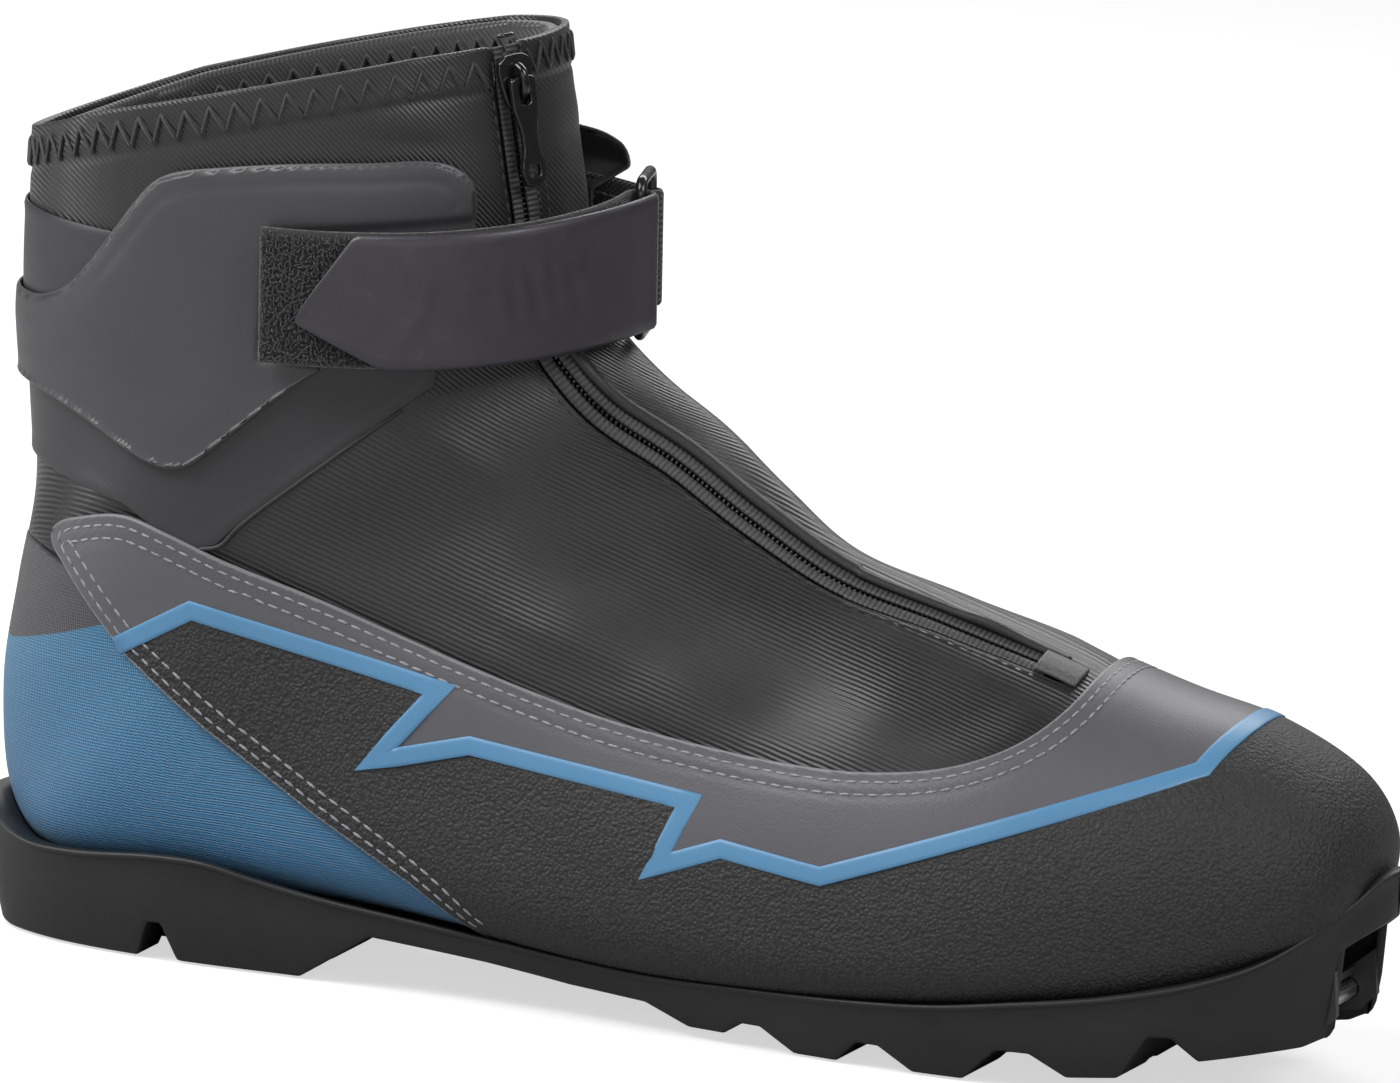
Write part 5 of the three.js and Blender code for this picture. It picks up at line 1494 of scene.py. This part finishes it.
elastomer, tree, shader = surface("cradle_elastomer", (.05, .049, .053), .42, Specular_IOR_Level=.5)
cloud = grain(tree, 22, 4)
pores = grain(tree, 2600, 3)
flow = add_node(tree, "ShaderNodeMapping", {"Vector": add_node(tree, "ShaderNodeTexCoord").outputs["Object"],
                                            "Scale": (8, 8, 60)})
streak = add_node(tree, "ShaderNodeTexNoise", {"Vector": flow.outputs[0], "Scale": 4.0, "Detail": 3})
tone = between(tree, (.035, .034, .037), (.058, .056, .061), cloud.outputs["Fac"])
edge_in = measured(tree, "edge_in")
# painted highlight: the colour lightens within 1.6 mm of the cradle's edges, where the rounded rim catches the
# light
scuffs_and_edge_highlight = add_node(tree, "ShaderNodeMapRange", {"Value": edge_in, "From Min": .0, "From Max": .0016,
                                               "To Min": .4, "To Max": 0.0})
paint(shader, between(tree, tone, (.072, .071, .075), scuffs_and_edge_highlight.outputs[0]))
polish(shader, ramp(tree, streak.outputs["Fac"], [(.3, grey(.36)), (.7, grey(.48))]))
bump(tree, shader, pores.outputs["Fac"], .3, .00012)


def wing(front):
    low_edge = smooth_line(np.array([[-14, 114], [4.6, 114], [15, 112.4], [25, 109.2], [33, 105.8],
                                     [38.6, 103.9], [43, 103.4],
                                     [47.5, 104.4], [52, 108.2], [57.7, 113.6], [66, 121.4], [73, 127],
                                     [80, 131.5], [86, 134]]), 4)
    corner = smooth_line(np.array([[front - .5, 135.6], [front + .6, 150], [front + 1, 163],
                                   [front - .3, 168.6], [front - 4, 171.8],
                                   [front - 9, 172.6], [82, 171.6], [66, 169.9], [50, 167.2], [40, 164.8],
                                   [35.5, 162.2], [31.5, 157.4],
                                   [26, 149.5], [20.5, 142], [15, 136.4], [8, 133.2], [0, 132.4],
                                   [-14, 132.2]]), 4)
    return np.concatenate([low_edge, corner])


outer_wing, inner_wing = wing(100), wing(109)


def cuff_measure(p, t, a):
    outer_side = np.mod(a, 2 * math.pi) < math.pi
    return np.where(outer_side, inside_line(p[:, [0, 2]], outer_wing), inside_line(p[:, [0, 2]], inner_wing))


cuff_sheet = cut_sheet(11.8, 20, 1.2, cuff_measure)
p = skin(cuff_sheet["t"], cuff_sheet["a"])
cuff_edge = edge_distance(cuff_sheet)
outer_side = np.mod(cuff_sheet["a"], 2 * math.pi) < math.pi
recess = np.array([[61, 128.4], [104, 129.8], [106, 162], [61, 155.4]], float)
in_recess = inside_line(p[:, [0, 2]], recess)
sunk = .8 * np.clip(in_recess / .9 + .5, 0, 1) * outer_side
low_ridge = np.interp(p[:, 0], [0, 15, 33, 43, 52, 66, 84], [114, 112.4, 105.8, 103.4, 108.2, 121.4, 133.4])
over_ridge = p[:, 2] - low_ridge
ridge = np.exp(-np.clip(over_ridge, 0, 99) / 5.5) * (p[:, 0] < 92)
thinning = .55 * np.clip(1 - cuff_edge / 7, 0, 1) ** 1.5 * (1 - ridge)
panel_line = .22 * np.exp(-((cuff_edge - 4.2) / .7) ** 2) * (1 - ridge) * np.clip((p[:, 2] - 135) / 8, 0,
    1) * (in_recess < -2)
dish = .35 * np.exp(-(((p[:, 0] - 35) / 22) ** 2 + ((p[:, 2] - 122) / 9) ** 2))
flare = 2.4 * np.clip((p[:, 0] - 88) / 20, 0, 1) ** 2 * np.clip((p[:, 2] - 161) / 6, 0, 1) * ~outer_side
cuff_height = 1.5 + .5 * ridge - thinning - sunk - panel_line - dish + flare
cuff = shell("ankle_cradle", cuff_sheet, cuff_height, .1 + flare, elastomer, .8, {"edge_in": cuff_edge / 1000})
# the front corner of the inner wing stands forward, clear of the gaiter
for vertex in cuff.data.vertices:
    x, y, z = vertex.co * 1000
    if y > 0:
        lead = min(max((x + drawn_middle[0] - 88) / 21, 0), 1) ** 1.6 * min(max((z - 161.5) / 5, 0), 1)
        vertex.co.x += .0058 * lead
        vertex.co.y += .0012 * lead
finish_piece(cuff, "boot", "cuff_plastic", "cuff")

# a thin cord lies along the front edge of the film, where it meets the gaiter
cord_line = smooth_line(np.array([[50.5, 87.2], [54.6, 88.4], [58.8, 93.2], [74.6, 107.2], [90, 120.5]]), 8)
cord_t, cord_a = side_path(cord_line, -1, 1.0)
cord_t2, cord_a2 = side_path(cord_line, 1, 1.0)
cords = []
for t, a in ((cord_t, cord_a), (cord_t2, cord_a2)):
    q, _, n = way_frame(t, a, np.full(len(t), -.62))
    cords.append(q)
edges = [(k, k + 1) for k in range(len(cords[0]) - 1)] + [
    (len(cords[0]) + k, len(cords[0]) + k + 1) for k in range(len(cords[1]) - 1)]
edge_cord = grow("film_edge_cord", threads_tree, np.concatenate(cords), edges, Radius=.00055, Finish=welt)
finish_piece(edge_cord, "boot", "underlay_film")

# ---------------------------------------------------------------- ankle strap
# A band of webbing faced with smooth elastomer. Its base is sewn to the cradle with the
# loop pile outwards, runs round the front, folds through a wire ring and comes back over
# itself; a patch of hooks under the pointed end holds it.
strap_plan = np.array([[62, -45.4], [72, -45.8], [84, -45.0], [96, -42.2], [106, -37], [114, -29.5],
                       [120, -20], [123.4, -10],
                       [124.6, -1]], float)
strap_rise = np.array([-6, -5.5, -4.6, -3.4, -2, -.6, .8, 2, 3], float)
lean, half_strap, strap_thick, strap_middle = -.06, 14.0, 1.6, 149.0
wire_room = 4.2
pass_gap, fold_gap = 1.6 + .3 + .9 + .3, 1.6 + 4.2
steps_per = 12
plan = smooth_line(np.c_[strap_plan, strap_rise], steps_per)
stop_no = np.arange(len(plan)) / steps_per
run_dir = np.gradient(plan[:, :2], axis=0)
run_dir = unit(run_dir)
strap_out = np.stack([run_dir[:, 1], -run_dir[:, 0]], 1)


def strap_point(k, out, height):
    """Point beside stop k of the strap's line, out from its inner face and above its middle."""
    k = np.asarray(k, float)
    at = np.stack([np.interp(k, stop_no, plan[:, c]) for c in range(3)], -1)
    side = np.stack([np.interp(k, stop_no, strap_out[:, c]) for c in range(2)], -1)
    side = unit(side)
    return np.stack([at[..., 0] + side[..., 0] * out + lean * height, at[..., 1] + side[..., 1] * out,
                     strap_middle + at[..., 2] + height + 0 * at[..., 0]], -1)


def face_out(k):
    """Direction out of the strap's face at stop k."""
    return np.stack([np.interp(k, stop_no, strap_out[:, 0]), np.interp(k, stop_no, strap_out[:, 1]), 0 * k], -1)


def run_ahead(k, out, height):
    """Direction along the strap at stop k."""
    ahead = strap_point(k + .05, out, height) - strap_point(k - .05, out, height)
    return unit(ahead)


front = len(strap_plan) - 1
bar_middle = strap_point(front, strap_thick + wire_room / 2, 0)
front_out = np.array([*strap_out[-1], 0])
front_along = np.array([*run_dir[-1], 0])
lean_up = np.array([lean, 0, 1.0])
across_strap = np.r_[-1, -.985, -.93, -.8, np.linspace(-.66, .66, 9), .8, .93, .985, 1]
edge_soft = np.clip((1 - np.abs(across_strap)) / .07, 0, 1) ** .5


def band_rings(stops, inner, low, high, thick, face=None):
    """Cross sections of a flat band; low and high are its edges, face adds relief outside."""
    rings = []
    for i, k in enumerate(stops):
        inner_at, low_at, high_at = inner[i], low[i], high[i]
        h = low_at + (high_at - low_at) * (across_strap + 1) / 2
        relief = face(k, h) if face else 0 * h
        outer_row = [strap_point(k, inner_at + thick / 2 + thick / 2 * e + r * e, v) for v, e,
                     r in zip(h, edge_soft, relief)]
        inner_row = [strap_point(k, inner_at + thick / 2 - thick / 2 * e, v) for v, e in zip(h, edge_soft)]
        rings.append(outer_row + inner_row[::-1][1:-1])
    return rings


strap_skin, tree, shader = surface("strap_elastomer", (.03, .026, .033), .4, Specular_IOR_Level=.5)
cloud = grain(tree, 60, 5)
pores = grain(tree, 2300, 4)
scuff = grain(tree, 240, 6, .7)
tone = between(tree, (.026, .0225, .029), (.04, .035, .044), cloud.outputs["Fac"])
scuffs_and_edge_highlight = ramp(tree, scuff.outputs["Fac"], [(.6, grey(0)), (.8, grey(.35))])
paint(shader, between(tree, tone, (.07, .066, .074), scuffs_and_edge_highlight))
polish(shader, ramp(tree, scuff.outputs["Fac"], [(.3, grey(.33)), (.75, grey(.5))]))
bump(tree, shader, pores.outputs["Fac"], .3, .0001)

webbing, tree, shader = surface("loop_webbing", (.012, .012, .013), .9, Sheen_Weight=.5, Sheen_Roughness=.4)
fuzz = grain(tree, 1300, 6, .7)
paint(shader, ramp(tree, fuzz.outputs["Fac"], [(.3, grey(.007)), (.75, grey(.028))]))
bump(tree, shader, fuzz.outputs["Fac"], .9, .0005)

base_stops = np.linspace(0, front, 120)
base_rings = band_rings(base_stops, np.zeros(120), np.full(120, -half_strap), np.full(120, half_strap),
                        strap_thick)
fold_rings = []
fold_middle = wire_room / 2 + strap_thick / 2
for turned in np.linspace(0, math.pi, 22)[1:]:
    outer_row, inner_row = [], []
    for v, e in zip(across_strap * half_strap, edge_soft):
        half_wall = strap_thick / 2 * e
        for row, r in ((outer_row, fold_middle + half_wall), (inner_row, fold_middle - half_wall)):
            row.append(bar_middle - front_out * math.cos(turned) * r
                       + front_along * math.sin(turned) * r + lean_up * v)
    # in the fold the outer face of the base turns to the inside
    fold_rings.append(inner_row + outer_row[::-1][1:-1])
strap_rings = np.array(base_rings + fold_rings)
base = new_piece("strap_base_webbing", *lofted(strap_rings), webbing)
weld(base)
finish_piece(base, "boot", "strap_loop", "strap_base")

# end pass: from the fold back to a pointed end, with a stepped edge line pressed in
end_stops = np.r_[np.linspace(.90, 2.4, 46), np.linspace(2.4, front, 110)[1:]]
tip_stop, top_full, low_full = .90, 1.95, 2.45
gap_at = pass_gap + (fold_gap - pass_gap) * np.clip((end_stops - 5) / (front - 5), 0, 1) ** 2
f_top = np.clip((end_stops - tip_stop) / (top_full - tip_stop), 0, 1)
f_low = np.clip((end_stops - tip_stop) / (low_full - tip_stop), 0, 1)
tip_height = -4.2
end_high = tip_height + .25 + (half_strap - tip_height - .25) * np.interp(f_top, [0, .04, .9, 1],
    [0, .09, .97, 1])
end_low = tip_height - .25 + (-half_strap - tip_height + .25) * np.interp(f_low, [0, .04, .9, 1],
    [0, .08, .96, 1])


def pressed(k, h):
    """Relief of the smooth face: a sunk line inside the edge and a raised arrow near the tip."""
    f1 = np.clip((k - tip_stop) / (top_full - tip_stop), 0, 1)
    f2 = np.clip((k - tip_stop) / (low_full - tip_stop), 0, 1)
    top = tip_height + (half_strap - tip_height) * f1
    low = tip_height + (-half_strap - tip_height) * f2
    to_edge = np.minimum(top - h, h - low)
    line = -.16 * np.exp(-((to_edge - 1.9) / .38) ** 2)
    arrow_at = 3.15 - .55 * np.abs(h - 1.5) / half_strap
    arrow = (.3 / (1 + np.exp(-(k - arrow_at + .22) * 40)) / (1 + np.exp((k - arrow_at) * 40))
             * (np.abs(h) < 9.5))
    bars = 0 * h
    for start in (4.15, 4.55, 4.95, 5.35, 5.75):
        inside = 1 / (1 + np.exp(-(k - start + .02 * h) * 45)) / (1 + np.exp((k - start - .2 + .02 * h) * 45))
        bars = bars + .28 * inside / (1 + np.exp((np.abs(h) - 5) * 5))
    return line + arrow + bars


end_rings = band_rings(end_stops, gap_at, end_low, end_high, strap_thick, pressed)
strap_end = new_piece("strap_end_elastomer", *lofted(end_rings), strap_skin)
weld(strap_end)
finish_piece(strap_end, "strap_flap", "strap_skin", "strap_end")

# loop pile over the face of the base: a small loop of yarn on every knot of the fabric
rng = np.random.default_rng(11)
pile_k, pile_h = [], []
for k in np.arange(.1, 7.6, .088):
    for h in np.arange(-13.2, 13.3, .95):
        pile_k.append(k + rng.uniform(-.035, .035))
        pile_h.append(h + rng.uniform(-.4, .4))
pile_k, pile_h = np.array(pile_k), np.array(pile_h)
pile_at = strap_point(pile_k, strap_thick + .18, pile_h)
ahead = run_ahead(pile_k, strap_thick, pile_h)
pile_up = face_out(pile_k)
pile = grow("strap_loop_pile", loops_tree, pile_at, vectors={"along_way": ahead, "up_way": pile_up},
            Length=.0011, Width=.0011, Height=.00125, Wander=2.6, Finish=webbing)
finish_piece(pile, "boot", "strap_loop")

# hooks: a woven backing with rows of tiny bristles bent over
hook_stops = np.linspace(2.05, 4, 40)
hook_inner = np.full(40, 1.9 + .35)
hook_rings = np.array(band_rings(hook_stops, hook_inner, np.full(40, -11.0), np.full(40, 11.0), .55))
hook_base = new_piece("strap_hook_backing", *lofted(hook_rings), webbing)
weld(hook_base)
finish_piece(hook_base, "strap_flap", "strap_hooks", "strap_hook_patch")
hook_k, hook_h = np.meshgrid(np.arange(2.1, 3.96, .1), np.arange(-10.2, 10.3, 1.2), indexing="ij")
hook_k, hook_h = hook_k.ravel(), hook_h.ravel()
ahead = run_ahead(hook_k, 1, hook_h)
hook_down = -face_out(hook_k)
hooks = grow("strap_hooks", loops_tree, strap_point(hook_k, 2.16, hook_h), vectors={"along_way": ahead,
    "up_way": hook_down},
             Length=.0008, Width=.0008, Height=.0006, Wander=.3, Finish=coil)
finish_piece(hooks, "strap_flap", "strap_hooks")

# ---------------------------------------------------------------- ring and its tab
# A rectangle of painted steel wire with rounded corners. A webbing tab is folded round its
# far side and sewn to the inner wing of the cradle.
painted_wire, tree, shader = surface("painted_wire", (.012, .012, .013), .28, Metallic=.3, Coat_Weight=.4)
orange = grain(tree, 600, 3)
polish(shader, ramp(tree, orange.outputs["Fac"], [(.35, grey(.2)), (.7, grey(.38))]))
ring_turn = math.radians(18)
ring_along = np.array([front_along[0] * math.cos(ring_turn) - front_along[1] * math.sin(ring_turn),
                       front_along[0] * math.sin(ring_turn) + front_along[1] * math.cos(ring_turn), 0])
far_bar = bar_middle + ring_along * 17
wire_radius, ring_half, corner_r = 1.2, half_strap + .3 + 1.2 + .4, 2.6
path = []
for (u, v), start in (((1, 1), 0), ((0, 1), 90), ((0, 0), 180), ((1, 0), 270)):
    cx = corner_r + (17 - 2 * corner_r) * u
    cz = -ring_half + corner_r + (2 * ring_half - 2 * corner_r) * v
    for d in np.linspace(start, start + 90, 8):
        path.append(bar_middle + ring_along * (cx + corner_r * math.cos(math.radians(d)))
                    + lean_up * (cz + corner_r * math.sin(math.radians(d))))
dense = []
for k in range(len(path)):
    a, b = path[k], path[(k + 1) % len(path)]
    parts = max(1, int(np.linalg.norm(b - a) / 2))
    dense += [a + (b - a) * f / parts for f in range(parts)]
rings, faces = tube(dense, wire_radius, 16, closed=True)
ring = new_piece("strap_ring_wire", place(rings), faces, painted_wire)
weld(ring)
finish_piece(ring, "ring", "ring_wire", "strap_ring")

band_weave, tree, shader = surface("tab_webbing", (.03, .03, .032), .75, Sheen_Weight=.3, Sheen_Roughness=.4)
where = add_node(tree, "ShaderNodeTexCoord").outputs["Object"]
parts = add_node(tree, "ShaderNodeSeparateXYZ", {"Vector": where})
k = 2 * math.pi / .0013
up_wave = calc(tree, "SINE", calc(tree, "MULTIPLY", parts.outputs["Z"], k))
run_wave = calc(tree, "SINE", calc(tree, "MULTIPLY", calc(tree, "SUBTRACT", parts.outputs["X"],
                                                          parts.outputs["Y"]), k * .6))
weave = calc(tree, "MULTIPLY", up_wave, run_wave)
paint(shader, ramp(tree, calc(tree, "MULTIPLY_ADD", weave, .5, .5), [(.1, grey(.014)), (.9, grey(.05))]))
bump(tree, shader, weave, .7, .0003)
tab_half = half_strap - 2
loop_line = []
tab_dir = np.array([-24.0, 15.0]) / math.hypot(24, 15)
loop_radius = 2.05
start_turn = math.atan2(tab_dir[1], tab_dir[0])
for d in np.linspace(math.radians(95), math.radians(265), 16):
    loop_line.append((loop_radius * math.cos(start_turn + d), loop_radius * math.sin(start_turn + d)))
side_up = np.array([-tab_dir[1], tab_dir[0]])
over = [tuple(tab_dir * d + side_up * (.75 + 1.3 * math.exp(-d / 2.2))) for d in (26, 22, 18, 14, 10, 7, 4.5,
    2.5)]
under = [tuple(tab_dir * d - side_up * (.75 + 1.3 * math.exp(-d / 2.2))) for d in (2.5, 4.5, 7, 10, 14, 18, 22,
    26)]
tab_line = smooth_line(np.array(over + loop_line[1:-1] + under), 3)
run = np.gradient(tab_line, axis=0)
run = unit(run)
normal_2d = np.stack([-run[:, 1], run[:, 0]], 1)
tab_rings = []
for (x, y), (nx, ny) in zip(tab_line, normal_2d):
    row_a, row_b = [], []
    for v, e in zip(across_strap * tab_half, edge_soft):
        for row, o in ((row_a, .6 * e), (row_b, -.6 * e)):
            row.append(far_bar + np.array([x + nx * o, y + ny * o, 0]) + lean_up * v)
    tab_rings.append(row_a + row_b[::-1][1:-1])
tab_rings = np.array(tab_rings)
tab = new_piece("strap_ring_tab_webbing", *lofted(tab_rings), band_weave)
weld(tab)
finish_piece(tab, "boot", "tab_webbing", "strap_ring_tab")

# ---------------------------------------------------------------- seams
# Two rows of grey lockstitch hold the rand along its upper edge and down the heel; the rim
# is closed with a black zigzag, outside and inside; single rows finish the tab.


def edge_way(sheet, keep, inset):
    """Way over the skin a given distance inside the edge of a sheet, where keep() holds."""
    points, normals = skin(sheet["t"], sheet["a"]), outward(sheet["t"], sheet["a"])
    loop = np.array(border_loops(sheet)[0])
    good = keep(points[loop])
    start = int(np.argmin(good))
    loop, good = np.roll(loop, -start), np.roll(good, -start)
    runs, begun = [], None
    for k, ok in enumerate(np.r_[good, False]):
        if ok and begun is None:
            begun = k
        if not ok and begun is not None:
            runs.append(loop[begun:k])
            begun = None
    run = max(runs, key=len)
    q = points[run]
    ease_window = np.ones(7) / 7
    q = np.stack([np.convolve(np.pad(q[:, c], 3, mode="edge"), ease_window, "valid") for c in range(3)], 1)
    along = unit(np.gradient(q, axis=0))
    inward = np.cross(normals[run], along)
    inward = unit(inward)
    t, a = skin_shift(sheet["t"][run], sheet["a"][run], q - points[run] + inward * inset)
    a = np.unwrap(a)
    soft = np.hanning(9)[1:-1]
    soft /= soft.sum()
    t = np.convolve(np.pad(t, 3, mode="edge"), soft, "valid")
    a = np.convolve(np.pad(a, 3, mode="edge"), soft, "valid")
    return t, a


above_sole = lambda q: q[:, 2] > np.interp(q[:, 0], soft_x, lip_z) + 1.0
rand_ways = [edge_way(rand_sheet, above_sole, inset) for inset in (2.3, 5.0)]
finish_piece(seam("rand_seam_stitches", rand_ways, .22, grey_thread, 3.0, 2.35, .6), "boot", "rand_skin")


def rim_way(drop):
    xs = np.linspace(-3.9, 104, 90)
    zs = np.interp(xs, rim_line[:, 0], rim_line[:, 1]) - drop
    ot, oa = from_side(xs, zs, -1)
    it, ia = from_side(xs, zs, 1)
    last_t, last_a = it[-1], ia[-1]
    stop_a = float(angle_for(last_t, -15.2))
    over_a = np.linspace(last_a, stop_a, 16)[1:]
    keep = skin(ot, oa)[:, 1] < -1
    keep &= slot_gap(skin(ot, oa)) > 1.6
    t = np.r_[ot[keep][::-1], it[1:], np.full(15, last_t) + np.linspace(0, .12, 15)]
    a = np.r_[oa[keep][::-1] - 2 * math.pi * (oa[keep][::-1] > math.pi), -(2 * math.pi - ia[1:]),
              -(2 * math.pi - over_a)]
    return t, a


def zigzag(drop, swing, pitch, height):
    t, a = even_path(*rim_way(drop), pitch)
    points = skin(t, a)
    along = unit(np.gradient(points, axis=0))
    side = np.cross(along, outward(t, a))
    side[:, 2] = np.abs(side[:, 2])
    sign = np.where(np.arange(len(t)) % 2, 1, -1)[:, None] * swing
    tt, aa = skin_shift(t, a, side * sign)
    q, n = skin(tt, aa), outward(tt, aa)
    out = []
    for k in range(len(q) - 1):
        for f in (0, .12, .5, .88):
            rise_here = height - (.22 if f == 0 else 0)
            b = q[k] * (1 - f) + q[k + 1] * f
            m = n[k] * (1 - f) + n[k + 1] * f
            out.append(b + m * rise_here)
    return np.array(out)


outside = zigzag(5.6, 2.75, 2.85, -.68)
inside_rim = zigzag(6.2, 2.1, 2.9, -6.95)
lines = np.concatenate([outside, inside_rim])
edges = [(k, k + 1) for k in range(len(outside) - 1)] + [
    (len(outside) + k, len(outside) + k + 1) for k in range(len(inside_rim) - 1)]
zigzags = grow("rim_zigzag_thread", threads_tree, lines, edges, Radius=.00042, Finish=black_thread)
finish_piece(zigzags, "boot", "softshell")

# box of stitches that holds the tab to the cradle
tab_points, tab_along, tab_up = [], [], []
tab_normal = np.array([side_up[0], side_up[1], 0])
tab_go = np.array([tab_dir[0], tab_dir[1], 0])
for v in (-8.5, 8.5):
    for d in np.arange(5.5, 17, 2.6):
        tab_points.append(far_bar + tab_go * d
                          + tab_normal * 1.42 * (1 + .9 * math.exp(-d / 2.2)) + lean_up * v)
        tab_along.append(tab_go)
for v in np.arange(-8, 8.1, 2.6):
    for d in (5.2, 16.8):
        tab_points.append(far_bar + tab_go * d + tab_normal * 1.42 + lean_up * v)
        tab_along.append([0, 0, 1])
tab_up = [tab_normal] * len(tab_points)
tab_seam = grow("tab_stitches", capsules, np.array(tab_points), vectors={"along_way": tab_along,
    "up_way": tab_up},
                Length=.0021, Width=.0005, Height=.0005, Wander=.05, Finish=grey_thread)
finish_piece(tab_seam, "boot", "tab_webbing")
